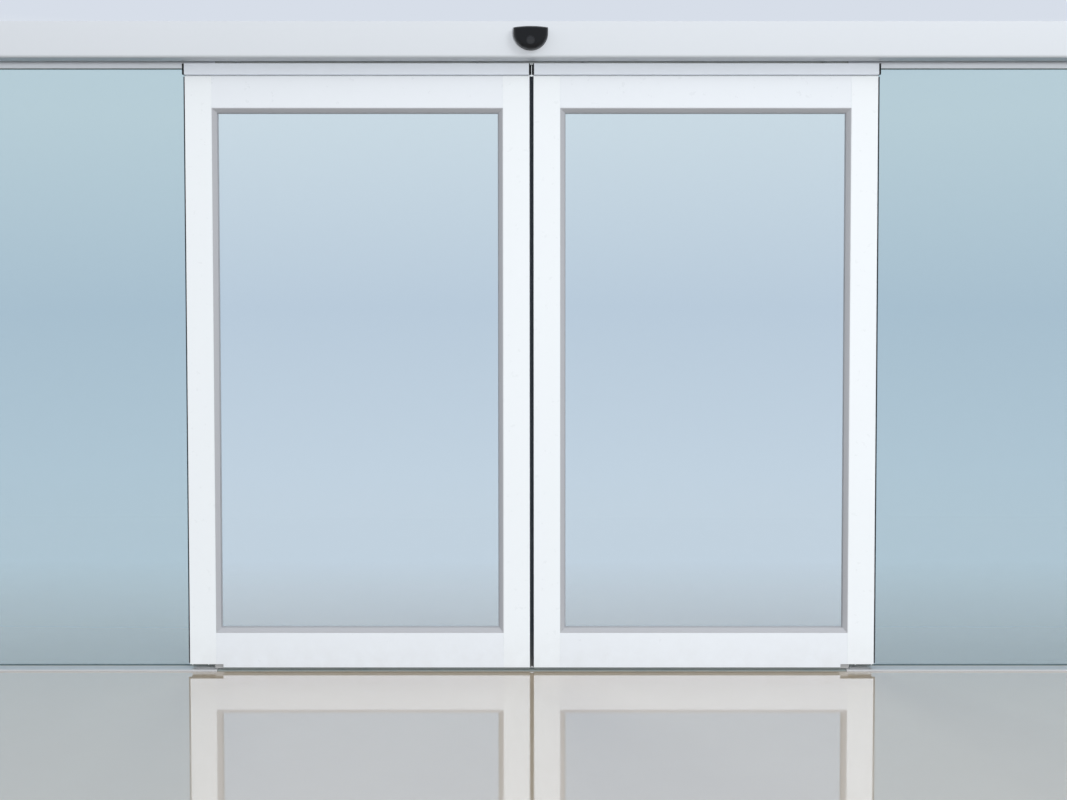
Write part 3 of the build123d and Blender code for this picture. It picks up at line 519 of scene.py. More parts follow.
# %% Paint every node
SIDES = {"left": -1, "right": 1}
NODE_FINISH = {
    "header_beam": "mill aluminium", "running_rail": "mill aluminium", "header_end_caps": "header coat",
    "header_cover": "header coat", "sensor_housing": "black housing", "sensor_window": "sensor lens",
    "motor_gearbox": "cast alloy", "drive_motor": "dark enamel", "drive_pulley": "machined alloy",
    "idler_bracket": "zinc plate", "idler_pulley": "machined alloy", "toothed_belt": "belt rubber",
    "control_unit": "dark casing", "power_supply": "cast alloy", "end_stops": "sealing rubber",
    "top_channels": "anodised along x", "sidelite_edge_trims": "anodised upright",
    "sidelite_gaskets": "strip rubber", "floor_guides": "zinc plate", "guide_blocks": "nylon",
    "sidelite_glass": "sidelite glass", "wall_jamb": "anodised upright", "floor_sill": "sill metal",
    "leaf_glass": "leaf glass", "leading_stile": "leaf coat", "trailing_stile": "leaf coat",
    # The rails take the white coat with painted shade, a little darker than the stiles.
    "top_rail": "rail coat with painted shade", "bottom_rail": "rail coat with painted shade", "glazing_beads": "bead coat",
    "glazing_gaskets": "pale rubber", "meeting_seal": "sealing rubber", "trailing_seal": "sealing rubber",
    "brush_strips": "bristle", "carrier_profile": "carrier coat", "carrier_caps": "black housing",
    "hangers": "zinc plate", "hanger_bolts": "zinc plate", "belt_clamp": "zinc plate",
    "wheel_inner": "nylon", "wheel_outer": "nylon",
}


def family(node_name):
    """A node's name without its side."""
    return node_name.removesuffix("_left").removesuffix("_right")


for name, solid in nodes.items():
    solid.data.materials.clear()
    solid.data.materials.append(finishes[NODE_FINISH[family(name)]])
print("painted:", len(nodes))

# %% [markdown]
# ## Surfaces from numbers
# Almost everything on a door is a section carried along a path: extrusions, seals, beads, gaskets,
# and also round parts, where the path is a circle. So a piece here starts as whole arrays: an
# outline in two directions, rings of that outline along the path, and quads between neighbouring
# rings. Corners are never knife sharp on a real part; outlines get small arcs, and ends a fine
# chamfer, so that edges catch the light. Makers' drawings are in millimetres, and so are the
# lengths of the new pieces here. Only the last step turns them into metres.

# %% Outlines
MM = 0.001


def box(node_name):
    """A node's low and high corner, in millimetres."""
    return np.array(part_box(node_name)) / MM


def rounded(corners, radii, steps=4):
    """A closed outline whose corners are arcs: each arc starts and ends where a circle of the corner's
    radius touches both sides, and its points turn evenly about that circle's centre."""
    corners = np.asarray(corners, float)
    radii = np.broadcast_to(np.asarray(radii, float), len(corners))[:, None]
    back, ahead = np.roll(corners, 1, 0) - corners, np.roll(corners, -1, 0) - corners
    back /= np.linalg.norm(back, axis=1, keepdims=True)
    ahead /= np.linalg.norm(ahead, axis=1, keepdims=True)
    half = np.arccos(np.clip((back * ahead).sum(1), -1, 1))[:, None] / 2
    middle = (back + ahead) / np.linalg.norm(back + ahead, axis=1, keepdims=True)
    centre = corners + middle * radii / np.sin(half)
    first, last = (corners + way * radii / np.tan(half) - centre for way in (back, ahead))
    share = np.linspace(0, 1, steps + 1)[None, :, None]
    swing = (np.pi - 2 * half)[:, :, None]
    arc = np.sin((1 - share) * swing) * first[:, None] + np.sin(share * swing) * last[:, None]
    return (centre[:, None] + arc / np.sin(swing)).reshape(-1, 2)


def box_outline(low, high, radius, steps=4):
    """A rectangle with rounded corners, from its low to its high corner."""
    (left, down), (right, up) = low, high
    return rounded([(left, down), (right, down), (right, up), (left, up)], radius, steps)


def inset(outline, by):
    """The outline drawn in by a distance: each point moves along the mean of its two sides' normals."""
    tiny = 1e-9
    ahead = np.roll(outline, -1, 0) - outline
    length = np.linalg.norm(ahead, axis=1, keepdims=True)
    ahead = np.where(length > tiny, ahead / np.maximum(length, tiny), 0)
    both = ahead + np.roll(ahead, 1, 0)
    both /= np.maximum(np.linalg.norm(both, axis=1, keepdims=True), tiny)
    x, y = outline.T
    sense = np.sign((x * np.roll(y, -1) - y * np.roll(x, -1)).sum())
    return outline + by * sense * np.stack([-both[:, 1], both[:, 0]], 1)


def angles(count):
    """Even turns round a circle."""
    return np.arange(count) * 2 * np.pi / count


print("points on a rounded square:", len(box_outline((0, 0), (10, 10), 1)))

# %% Rings and faces
AXES = {"x": (1, 2, 0), "y": (0, 2, 1), "z": (0, 1, 2)}


def carried(outlines, places, axis="x"):
    """Outlines set at places along an axis: each outline's two directions are the two other axes, in
    order."""
    outlines = np.asarray(outlines, float)
    rings = np.empty((len(places), outlines.shape[-2], 3))
    first, second, along = AXES[axis]
    rings[..., first], rings[..., second] = outlines[..., 0], outlines[..., 1]
    rings[..., along] = np.asarray(places, float)[:, None]
    return rings


def skin(rings, closed=False):
    """Quads between neighbouring rings. An open run of rings gets a flat face at each end."""
    count, sides, _ = rings.shape
    index = np.arange(count * sides).reshape(count, sides)
    wide = np.c_[index, index[:, :1]]
    if closed:
        wide = np.r_[wide, wide[:1]]
    quads = np.stack([wide[:-1, :-1], wide[:-1, 1:], wide[1:, 1:], wide[1:, :-1]], -1).reshape(-1, 4)
    ends = [] if closed else [index[0, ::-1].tolist(), index[-1].tolist()]
    return rings.reshape(-1, 3), quads.tolist() + ends


def bar(outline, low, high, axis="x", ease=0.4):
    """An outline carried straight from low to high, with a fine chamfer at both ends."""
    drawn_in = inset(outline, ease)
    return skin(carried([drawn_in, outline, outline, drawn_in], [low, low + ease, high - ease, high], axis))


def block(low, high, radius, steps, axis="x", ease=0.4):
    """A bar with a rounded rectangle for its section, from its low to its high corner."""
    first, second, along = AXES[axis]
    outline = box_outline((low[first], low[second]), (high[first], high[second]), radius, steps)
    return bar(outline, low[along], high[along], axis, ease)


print("faces of a block:", len(block((0, 0, 0), (10, 10, 10), 1, 4)[1]))

# %% Turned surfaces
def spun(middle, radii, places, axis, closed=False):
    """Rings about an axis through the middle. radii has a row for each place along the axis and a
    column for each angle, so a radius may change with the angle, as on a hexagon or a thread."""
    first, second, along = AXES[axis]
    turn = angles(radii.shape[1])
    rings = np.stack([middle[first] + radii * np.cos(turn), middle[second] + radii * np.sin(turn)], -1)
    return skin(carried(rings, middle[along] + np.asarray(places, float), axis), closed)


def turned(profile, middle, axis="y", count=40):
    """A profile of (radius, place along the axis) points, turned round the axis through the middle. A
    closed loop of points makes a ring; one that starts and ends on the axis makes a solid of
    revolution."""
    radius, place = np.asarray(profile, float).T
    return spun(middle, np.repeat(radius[:, None], count, 1), place, axis, closed=radius[0] > 1e-9)


def turned_solid(profile, middle, axis="x", count=56):
    """The same for a profile whose two ends are flat: both are closed on the axis."""
    return turned([(0, profile[0][1]), *profile, (0, profile[-1][1])], middle, axis, count)


print("faces of a plain round bar:", len(turned_solid([(5, 0), (5, 20)], (0, 0, 0))[1]))

# %% Surfaces joined and mirrored
def joined(*parts):
    """Several surfaces as one: the faces of each count on from the points before it."""
    points, faces, start = [], [], 0
    for part_points, part_faces in parts:
        points.append(part_points)
        faces += [[corner + start for corner in face] for face in part_faces]
        start += len(part_points)
    return np.concatenate(points), faces


def mirrored(part, flip):
    """A surface as it is, or mirrored across the door's middle plane when flip is -1."""
    points, faces = part
    return points * (flip, 1, 1), faces

# %% From a surface to a piece
def put(name, part, finish, body="frame", replaced=(), smooth=30):
    """A surface as a Blender object in metres: doubles merged, faces turned outwards, and all that
    every new piece shares."""
    points, faces = part
    same = 1e-7
    mesh = bpy.data.meshes.new(name)
    mesh.from_pydata((points * MM).tolist(), [], faces)
    work = bmesh.new()
    work.from_mesh(mesh)
    bmesh.ops.remove_doubles(work, verts=work.verts, dist=same)
    bmesh.ops.dissolve_degenerate(work, dist=same, edges=work.edges)
    bmesh.ops.recalc_face_normals(work, faces=work.faces)
    work.to_mesh(mesh)
    work.free()
    return settle(name, mesh, finish, body, replaced, smooth)


def settle(name, mesh, finish, body, replaced, smooth):
    """What every new piece shares: smooth shading up to an angle, finish, body, replaced nodes."""
    mesh.polygons.foreach_set("use_smooth", np.ones(len(mesh.polygons), bool))
    mesh.set_sharp_from_angle(angle=math.radians(smooth))
    mesh.materials.clear()
    mesh.materials.append(finishes[finish])
    piece = bpy.data.objects.new(name, mesh)
    bpy.context.scene.collection.objects.link(piece)
    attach(piece, body)
    if replaced:
        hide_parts(*replaced)
    return piece


def put_pair(name, part, finish, body="leaf_{}", replaced="", smooth=40):
    """A right-hand surface put on its own side, and its mirror image on the left. The braces in the
    body's and the replaced node's names stand for the side."""
    for side, flip in SIDES.items():
        stands_for = (replaced.format(side),) if replaced else ()
        put(f"{name}_{side}", mirrored(part, flip), finish, body.format(side), stands_for, smooth)

# %% [markdown]
# ## Solids with eased edges
# Extrusions and plates that are already right need only one thing that a solid model leaves out:
# the small radius that a die, a file or a deburring wheel leaves on every edge. A copy of the
# node's mesh is merged, its flat triangles are joined into whole faces, and a Bevel modifier rounds
# what is sharper than 30 degrees.

# %% Ease a node's edges
def eased(node_name, body, width):
    """A merged copy of a node's mesh with a Bevel modifier, which stands for the node."""
    mesh = nodes[node_name].data.copy()
    work = bmesh.new()
    work.from_mesh(mesh)
    bmesh.ops.remove_doubles(work, verts=work.verts, dist=1e-6)
    bmesh.ops.dissolve_limit(work, angle_limit=math.radians(0.5), verts=work.verts, edges=work.edges)
    work.to_mesh(mesh)
    work.free()
    piece = settle(node_name + "_eased", mesh, NODE_FINISH[family(node_name)], body, (node_name,), 32)
    bevel = piece.modifiers.new("eased edges", "BEVEL")
    bevel.width, bevel.segments = width * MM, 2
    bevel.limit_method, bevel.angle_limit = "ANGLE", math.radians(30)
    bevel.harden_normals = True

# %% [markdown]
# ## The header's front cover
# On the real door this is one long extrusion, hung on a hinge bead at its top and rounded where its
# face turns under. A cylinder section could be cut and joined, but the whole profile is easier as
# one closed outline: face, rounded lower edge, return with its lip, and back again on the inside to
# the bead. It is carried along X.

# %% Header cover
def cover_outline(arc=8):
    """The cover's section in Y and Z: an L with a wide outer arc, a lip, and a round bead on a short
    web. The face is shared by the shell and the top edge, so the arc at either end of it is left
    out."""
    (_, front, low), (_, back, top) = box("header_cover")
    wall, lip = 2, 10
    bead_z = top - 6
    turn = np.radians(np.linspace(-160.5, 160.5, 25))
    bead = (front + 10, bead_z) + 3 * np.stack([np.cos(turn), np.sin(turn)], 1)
    shell = rounded(
        [(front, top), (front, low), (back, low), (back, low + lip), (back - wall, low + lip),
         (back - wall, low + wall), (front + wall, low + wall), (front + wall, bead_z - 1)],
        [0.7, 12, 0.9, 0.8, 0.8, 1.2, 10, 0.5], arc,
    )
    top_edge = rounded(
        [(front + wall, bead_z + 1), (front + wall, top), (front, top), (front, low)],
        [0.5, 0.7, 0.7, 12], arc,
    )
    return np.concatenate([shell[arc + 1:], bead, top_edge[:-arc - 1]])


(cover_start, _, _), (cover_end, _, _) = box("header_cover")
put("front_cover", bar(cover_outline(), cover_start, cover_end, "x", 0.5), "header coat", "cover",
    ("header_cover",), 32)
print("cover section:", len(cover_outline()), "points,", round(cover_end - cover_start), "mm long")

# %% [markdown]
# ## The motion sensor
# A moulded half-moon of black plastic that looks down at whoever walks up. Its face is gently
# crowned and runs into the sides in one wide curve, which a chamfered solid can't show. Rings of
# the half-moon outline shrink towards a middle point while they come forward along a quarter of an
# ellipse; a fine groove marks where the hood meets its base plate. The round window is a separate
# glossy lens.

# %% The half-moon outline
def half_moon(count=96):
    """The outline in X and Z: a flat arch on top, two short sides, and one round bowl below. The
    radius of an arc of a given rise over a given half width is (rise squared + half width squared)
    / (2 rise)."""
    (left, _, low), (right, _, high) = box("sensor_housing")
    half, arch, side = (right - left) / 2, 5, 17
    bowl_rise = high - arch - side - low
    bowl, crown = ((rise ** 2 + half ** 2) / (2 * rise) for rise in (bowl_rise, arch))
    swing = np.arcsin(half / bowl)
    angle = np.linspace(-swing, swing, count // 2)
    under = np.stack([bowl * np.sin(angle), low + bowl - bowl * np.cos(angle)], 1)
    swing = np.arcsin(half / crown)
    angle = np.linspace(swing, -swing, count // 3)
    over = np.stack([crown * np.sin(angle), high - crown + crown * np.cos(angle)], 1)
    return np.concatenate([under, over])


print("half-moon outline:", len(half_moon()), "points")

# %% Sensor housing and lens
def sensor_shell():
    """Rings of the half-moon: straight sides with a parting groove, then a quarter ellipse, then a low
    crown."""
    (_, front, _), (_, back, _) = box("sensor_housing")
    outline = half_moon()
    middle = np.array([0, outline[:, 1].mean() + 4])
    depth, reach, crown = 22, 20, 0.8
    rise = np.linspace(0, 1, 14) * np.pi / 2
    steps = [(0, back), (0, back - 7), (0.9, back - 7.4), (0.9, back - 8.4), (0, back - 8.8),
             *zip(reach * (1 - np.cos(rise)), front + depth * (1 - np.sin(rise)) + crown)]
    half = np.abs(outline - middle).max(0)
    rings = [middle + (outline - middle) * (1 - by / half) for by, _ in steps]
    places = [place for _, place in steps]
    face = rings[-1]
    for share in (0.62, 0.35, 0.12, 0.0):
        rings.append(middle + (face - middle) * share)
        places.append(front + crown * share ** 2)
    return skin(carried(rings, places, "y"))


def lens_part():
    """A low dome inside a thin rim, turned about Y."""
    (left, front, low), (right, back, high) = box("sensor_window")
    radius = (right - left) / 2
    dome = np.linspace(np.pi / 2, 0, 9)
    rim = [(0, 1.2), (radius, 1.2), (radius, -0.2), (radius - 0.5, -0.6), (radius - 1.6, -0.6),
           (radius - 1.8, -0.2)]
    crown = [(math.sin(a) * (radius - 1.9), (front - back) * math.cos(a) ** 1.2) for a in dome]
    return turned(rim + crown, ((left + right) / 2, back, (low + high) / 2), "y", 48)


hood = put("sensor_hood", sensor_shell(), "black housing", "cover", ("sensor_housing",), 40)
lens = put("sensor_lens", lens_part(), "sensor lens", "cover", ("sensor_window",), 40)
print("sensor hood:", len(hood.data.vertices), "points; lens:", len(lens.data.vertices))

# %% [markdown]
# ## The leaf frames and other extrusions
# Stiles, rails and the carrier above them are hollow extrusions, cut square and joined with hidden
# corner cleats. The solids hold every wall, groove and lip, so here they only get their eased edges
# and their coat. So do the header's beam and rail, the brackets and the power supply. The tables
# give the width of each node's edge.

# %% Eased solids
ON_LEAF = {"leading_stile": 0.6, "trailing_stile": 0.6, "top_rail": 0.6, "bottom_rail": 0.6,
           "carrier_profile": 0.5, "carrier_caps": 0.8, "hangers": 0.5, "belt_clamp": 0.4}
ON_SIDE = {"wall_jamb": 0.5, "floor_sill": 0.4}
ON_FRAME = {"header_beam": 0.5, "running_rail": 0.3, "header_end_caps": 0.6, "top_channels": 0.4,
            "sidelite_edge_trims": 0.4, "floor_guides": 0.4, "guide_blocks": 0.8, "idler_bracket": 0.5,
            "motor_gearbox": 1.2, "end_stops": 1.0, "power_supply": 0.6}
for side in SIDES:
    for name, width in ON_LEAF.items():
        eased(f"{name}_{side}", f"leaf_{side}", width)
    for name, width in ON_SIDE.items():
        eased(f"{name}_{side}", "frame", width)
for name, width in ON_FRAME.items():
    eased(name, "frame", width)

# %% Joint strips and buffers
(inner_end, face, leaf_top), (outer_end, _, _) = box("carrier_profile_right")
# A rubber cord in the corner between the leaf's top and the carrier's face.
cord = block((inner_end + 1, face - 2.6, leaf_top), (outer_end - 5, face, leaf_top + 2.2), 0.5, 3, "x", 0.3)
put_pair("joint_strip", cord, "sealing rubber")
(cap, cap_front, cap_low), (_, cap_back, cap_high) = box("carrier_caps_right")
# A pad on the black cap at each carrier's inner end; the two pads stop just short of each other.
pad = block((cap - 5, cap_front + 1, cap_low + 1), (cap + 0.1, cap_back - 4, cap_high - 5), 2, 4, "x", 0.8)
put_pair("carrier_buffer", pad, "black housing")
print("buffer pads stop", round(cap - 5, 2), "mm from the middle")

# %% [markdown]
# ## Glazing beads
# Four bars with a sloping face clip into the frame and press the glass back. They meet in mitres
# that stay visible as hairlines. Each bar is the bead's section carried between its two mitre
# planes: every point of the section runs on by as much as it stands in from the frame, less a hair
# for the joint.

# %% Beads round each pane
BEAD = rounded([(0, 1), (2.6, 1), (17, 14), (17, 19), (0, 19)], [0.2, 1.6, 1.4, 0.5, 0.2], 5)
JOINT = 0.12


def mitred_bar(corner, inwards, along, length):
    """A section of (inwards, depth) points from one mitre to the other: place = start + inwards +
    along."""
    inward, run = np.array(inwards, float), np.array(along, float)
    share = BEAD[:, :1]
    base = np.array(corner) + share * inward + BEAD[:, 1:] * np.array([0, 1, 0])
    return skin(np.array([base + run * (share + JOINT), base + run * (length - share - JOINT)]))


def beads(side):
    """Four bars round the opening between the stiles and the rails."""
    (left, front, low), (right, _, high) = box(f"glazing_beads_{side}")
    front -= 1
    wide, tall = right - left, high - low
    return joined(
        mitred_bar((left, front, low), (1, 0, 0), (0, 0, 1), tall),
        mitred_bar((right, front, low), (-1, 0, 0), (0, 0, 1), tall),
        mitred_bar((left, front, low), (0, 0, 1), (1, 0, 0), wide),
        mitred_bar((left, front, high), (0, 0, -1), (1, 0, 0), wide),
    )


for side in SIDES:
    put(f"beads_{side}", beads(side), "bead coat", f"leaf_{side}", (f"glazing_beads_{side}",), 50)
print("bead section:", len(BEAD), "points")

# %% [markdown]
# ## Glass panes
# A toughened pane is a plain slab, but its edges are ground: a narrow flat at 45 degrees runs all
# round both faces. It is what makes a pane look like glass where its edge shows, at the sidelites'
# leading edges and through the gaskets. A rectangle is carried through the pane's depth, and drawn
# in at both faces by the width of that flat.

# %% Panes
def pane(node_name, arris=1.0, air=0.02):
    """A slab with ground arrises, in the node's place. A hair of air keeps its faces off the rubber."""
    (left, front, low), (right, back, high) = box(node_name)
    outline = np.array([(left, low), (right, low), (right, high), (left, high)])
    return bar(outline, front + air, back - air, "y", arris)


for side in SIDES:
    for kind, body in (("leaf", f"leaf_{side}"), ("sidelite", "frame")):
        glass = f"{kind}_glass_{side}"
        put(f"{kind}_pane_{side}", pane(glass), f"{kind} glass", body, (glass,), 32)
        print(glass, "is", (box(glass)[1] - box(glass)[0]).round(1), "mm")

# %% [markdown]
# ## Glazing gaskets
# Between glass and metal runs a soft rubber section. What shows of it is a rounded lip, a thin grey
# line all round the pane. Its section is carried round a rectangle: a point that stands in from the
# opening by some distance lies on a rectangle that is smaller by that distance on every side, so
# four rings close the loop with mitred corners.

# %% Gaskets in the leaves
def round_opening(section, low, high):
    """A section of (distance in, depth) points carried round an opening in X and Z. Each corner of the
    opening is a ring whose points move in towards the middle along both directions."""
    (left, down), (right, up) = low, high
    corners = np.array([(left, down, 1, 1), (right, down, -1, 1), (right, up, -1, -1), (left, up, 1, -1)])
    rings = np.empty((4, len(section), 3))
    rings[..., 0] = corners[:, :1] + section[:, 0] * corners[:, 2:3]
    rings[..., 1] = section[:, 1]
    rings[..., 2] = corners[:, 1:2] + section[:, 0] * corners[:, 3:4]
    return skin(rings, closed=True)


def leaf_gaskets(side):
    """The front gasket under the beads with its proud lip, and the rear one under the frame's own lip."""
    (left, front, low), (right, back, high) = box(f"glazing_gaskets_{side}")
    thick, air = 3, 0.03
    lip = [(2, 0.03), (17, 0.03), (17.4, -0.5), (18.4, -0.5), (19.2, 0.6), (20, 2.6), (19.7, 2.97),
           (2, 2.97)]
    ahead = rounded(lip, [0.1, 0.1, 0.4, 0.5, 0.8, 0.3, 0.1, 0.1], 4) + (0, front)
    rear = box_outline((2, back - thick + air), (17, back - air), 0.6, 3)
    return joined(*(round_opening(section, (left, low), (right, high)) for section in (ahead, rear)))


for side in SIDES:
    put(f"gaskets_{side}", leaf_gaskets(side), "pale rubber", f"leaf_{side}",
        (f"glazing_gaskets_{side}",), 45)
print("gasket opening starts at", box("glazing_gaskets_right")[0].round(1), "mm")

# %% [markdown]
# ## Seals on the stiles
# The two meeting seals close the slot between the leaves. They are black rubber with a foot that
# grips a groove, a hollow soft nose with a flat tip, and small ribs that break draughts. The
# trailing seal is a narrow double fin. Both are one outline carried up the stile, and the outline's
# back half is its front half mirrored.

# %% Meeting and trailing seals
def seal(front_half, tip, mid, low, high):
    """Rows of (x, y from the middle, radius), then any tip on the middle line, then the rows mirrored."""
    rows = np.array(front_half)
    rows = np.concatenate([rows, np.reshape(tip, (-1, 3)), rows[::-1] * (1, -1, 1)])
    outline = rounded(rows[:, :2] + (0, mid), rows[:, 2], 3)
    return bar(outline, low, high, "z", 0.3)


def meeting_seal():
    """The foot in its groove, and the nose from the stile's edge to just short of the other leaf's
    nose."""
    (nose, front, low), (foot, back, high) = box("meeting_seal_right")
    edge = foot - 5
    reach, half = edge - nose, (back - front) / 2
    return seal([
        (foot, -1.9, 0.4), (edge, -1.9, 0.3), (edge, -half, 0.2), (edge - 0.42 * reach, -half, 0.8),
        (edge - 0.55 * reach, 1.5 - half, 0.6), (edge - 0.5 * reach, 3.2 - half, 0.6),
        (nose + 0.4, 5.2 - half, 0.9), (nose, 6.4 - half, 0.6), (nose, 10.2 - half, 0.4),
        (nose + 1.2, 11 - half, 0.4),
    ], (), (front + back) / 2, low, high)


def trailing_seal():
    """A foot in the groove and two fins that stand out past the stile and close its shadow gap."""
    (foot, front, low), (tip, back, high) = box("trailing_seal_right")
    tip += 2
    edge, half = foot + 5, (back - front) / 2 + 1
    return seal([
        (foot, -1.8, 0.4), (edge, -1.8, 0.2), (edge, -half, 0.3), (edge + 1.4, -half, 0.4),
        (edge + 2.4, -1.2, 0.5), (tip - 0.6, -half, 0.3), (tip, -half + 0.7, 0.3),
    ], (edge + 4.2, 0, 0.4), (front + back) / 2 - 1, low, high)


put_pair("meeting_nose", meeting_seal(), "sealing rubber", replaced="meeting_seal_{}")
put_pair("trailing_fins", trailing_seal(), "sealing rubber", replaced="trailing_seal_{}")
print("seals run up to", round(box("meeting_seal_right")[1][2]), "mm")

# %% [markdown]
# ## Brushes
# Under each leaf two strips of bristle brush the floor. Real strips hold thousands of hairs in
# tufts. A tuft here is a thin four-sided spike that leans and spreads a little, and all of them are
# worked out at once as one array, with the lean taken from sines of the tuft's number so that every
# run gives the same brush. The sidelite's edge trim carries a taller brush of the same kind that
# wipes the back of the leaf.

# %% Brush strips
def tufts(roots, way, side_way, length, wide, thick, lean):
    """Spikes that start at the roots and point along way. Each has four base points and four tip
    points; the tip is moved by lean times a wave of the spike's number, and is narrower than the
    base."""
    number = np.arange(len(roots))
    wave = np.stack([np.sin(number * 2.399), np.cos(number * 1.713 + 1)], 1)
    across = np.cross(way, side_way)
    corner = np.array([(-1, -1), (1, -1), (1, 1), (-1, 1)], float)
    flat, deep = corner[None, :, :1] * side_way * wide / 2, corner[None, :, 1:] * across * thick / 2
    sway = (wave[:, :1] * side_way + wave[:, 1:] * across) * lean
    end = roots + way * length * (1 - 0.06 * np.abs(wave[:, :1])) + sway
    points = np.concatenate([roots[:, None] + flat + deep, end[:, None] + flat * 0.85 + deep * 0.6], 1)
    quad = np.array([(0, 1, 5, 4), (1, 2, 6, 5), (2, 3, 7, 6), (3, 0, 4, 7), (4, 5, 6, 7), (3, 2, 1, 0)])
    faces = (number[:, None, None] * 8 + quad).reshape(-1, 4).tolist()
    return points.reshape(-1, 3), faces


def strip_brush(start, end, middle, top, tip, pitch=1.25):
    """A folded holder along X, and the tufts that hang from it in two staggered rows."""
    holder = block((start, middle - 2.5, top - 2.5), (end, middle + 2.5, top), 0.5, 3)
    places = np.arange(start + 2, end - 2, pitch)
    rows = middle + np.where(np.arange(len(places)) % 2, 0.55, -0.55)
    root = top - 2.2
    hair = tufts(np.stack([places, rows, np.full(len(places), root)], 1), np.array([0, 0, -1.0]),
                 np.array([1.0, 0, 0]), root - tip, 1.1, 1.3, 0.3)
    return joined(holder, hair)


(start, front, tip), (end, back, top) = box("brush_strips_right")
notch = 124
brushes = joined(
    strip_brush(start, end - notch, front + 2.5, top, tip),
    strip_brush(start, end, back - 2.5, top, tip),
)
put_pair("floor_brush", brushes, "bristle", replaced="brush_strips_{}", smooth=30)
print("brushes under a leaf:", len(brushes[0]), "points")

# %% Rubber round the sidelites
def sidelite_rubber():
    """Wedges along the glass at the top, the bottom and the outer edge, on both of its faces."""
    low = box("sidelite_gaskets")[0][2]
    jamb = box("wall_jamb_right")[0][0]
    trim = box("sidelite_edge_trims")[1][0]
    sill = box("floor_sill_right")[1][2]
    channel = box("top_channels")[0][2]
    (_, pane_front, _), (_, pane_back, _) = box("sidelite_glass_right")
    bite, air, end = 3, 0.03, 0.05
    wedge = np.array([(0, 0), (2.9, 0), (2.9, 9), (2.4, 12.9), (0.03, 12.9), (0.03, 4), (0, 2.4)])
    soft = np.array([0.9, 0.9, 0.5, 0.3, 0.3, 0.3, 0.2])
    squat = 0.38
    parts = []
    for face, way in ((pane_front, -1), (pane_back, 1)):
        across = face + way * (air + wedge[:, 0])
        upper = np.stack([across, channel - bite + wedge[:, 1]], 1)
        lower = np.stack([across, sill + 2 - wedge[:, 1] * squat], 1)
        outward = np.stack([jamb - bite + wedge[:, 1], across], 1)
        parts += [bar(rounded(upper, soft, 3), trim, jamb - bite, "x", end),
                  bar(rounded(lower, soft * squat, 3), trim, jamb - bite, "x", 0.03),
                  bar(rounded(outward, soft, 3), low, channel, "z", end)]
    return joined(*parts)


rubber = joined(*(mirrored(sidelite_rubber(), flip) for flip in SIDES.values()))
put("sidelite_rubber", rubber, "strip rubber", replaced=("sidelite_gaskets",), smooth=45)
print("rubber round the sidelites:", len(rubber[1]), "faces")

# %% The brush up each edge trim
def upright_brush(pitch=1.6):
    """A backing strip up the edge trim and tufts that point at the leaf."""
    trim_front = box("sidelite_edge_trims")[0][1]
    tip = box("sidelite_gaskets")[0][1]
    middle = (box("sidelite_glass_right")[0][0] + box("sidelite_edge_trims")[1][0] - 16) / 2
    low, high = box("floor_sill_right")[1][2] + 2, box("top_channels")[0][2]
    half = 1.5
    backing = block((middle - half, trim_front - 0.8, low), (middle + half, trim_front, high), 0.3, 2, "z")
    places = np.arange(low + 1, high - 1, pitch)
    rows = middle + np.where(np.arange(len(places)) % 2, 0.6, -0.6)
    root = trim_front - 0.6
    hair = tufts(np.stack([rows, np.full(len(places), root), places], 1), np.array([0, -1.0, 0]),
                 np.array([0, 0, 1.0]), root - tip, 1.3, 1.1, 0.25)
    return joined(backing, hair)


wiper = upright_brush()
put_pair("trim_brush", wiper, "bristle", "frame", smooth=30)
print("brush up a trim:", len(wiper[0]), "points")

# %% [markdown]
# ## Closing the slots above and below the leaves
# Light must not show over the leaves or run under them. A brush hangs under the header beam just
# behind the carriers, from one sidelite to the other. On the floor a low grey rubber strip with
# bevelled edges and five ribs lies between the two sills; its grey is painted shade, which darkens
# the floor under the leaves' brushes. Its top is one row of points: the strip's height, less a small
# groove between every two ribs.

# %% Head brush and floor strip
glass_edge = box("sidelite_glass_right")[0][0]
sill_start, sill_front, _ = box("floor_sill_right")[0]
seat_low, seat_front = box("top_channels")[1][2], box("top_channels")[0][1]
head_brush = strip_brush(1 - glass_edge, glass_edge - 1, seat_front + 3, seat_low,
                         box("carrier_profile_right")[1][2] - 4)
# Its hair is painted pale, as painted light that lifts it out of the shade under the header.
put("head_brush", head_brush, "bristle with painted light")


def floor_strip_painted_shade():
    """A flat outline in Y and Z with sloping flanks and a ribbed top, carried along X."""
    front, back = sill_front + 1, box("leading_stile_right")[1][1] - 1
    high, slope, groove, corner = 4.5, 5, 0.9, 0.3
    marks = np.linspace(back - slope, front + slope, 21)
    top = np.stack([marks, high - groove * (np.arange(21) // 2 % 2)], 1)
    under = [(front, corner), (front + corner, 0), (back - corner, 0), (back, corner)]
    return bar(np.concatenate([under, top]), 0.5 - sill_start, sill_start - 0.5, "x", 0.2)


# The grey strip is painted shade: it darkens the floor under the leaves.
put("floor_strip_painted_shade", floor_strip_painted_shade(), "strip rubber")
print("head brush:", round(2 * glass_edge), "mm; floor strip:", round(2 * sill_start), "mm")

# %% [markdown]
# ## Inside the header: the toothed belt
# A motor at one end pulls a toothed belt round an idler at the other; one leaf is clamped to its
# upper run and one to its lower, so they part together. The loop is two straight runs and two half
# circles. Its teeth are worked out along the loop's length: a height that rises and falls with each
# pitch is taken off the inner side, so the whole belt is one grid of four corners times a few
# thousand rings.

# %% Belt
PULLEY_TEETH, BELT_TEETH = 16, 690


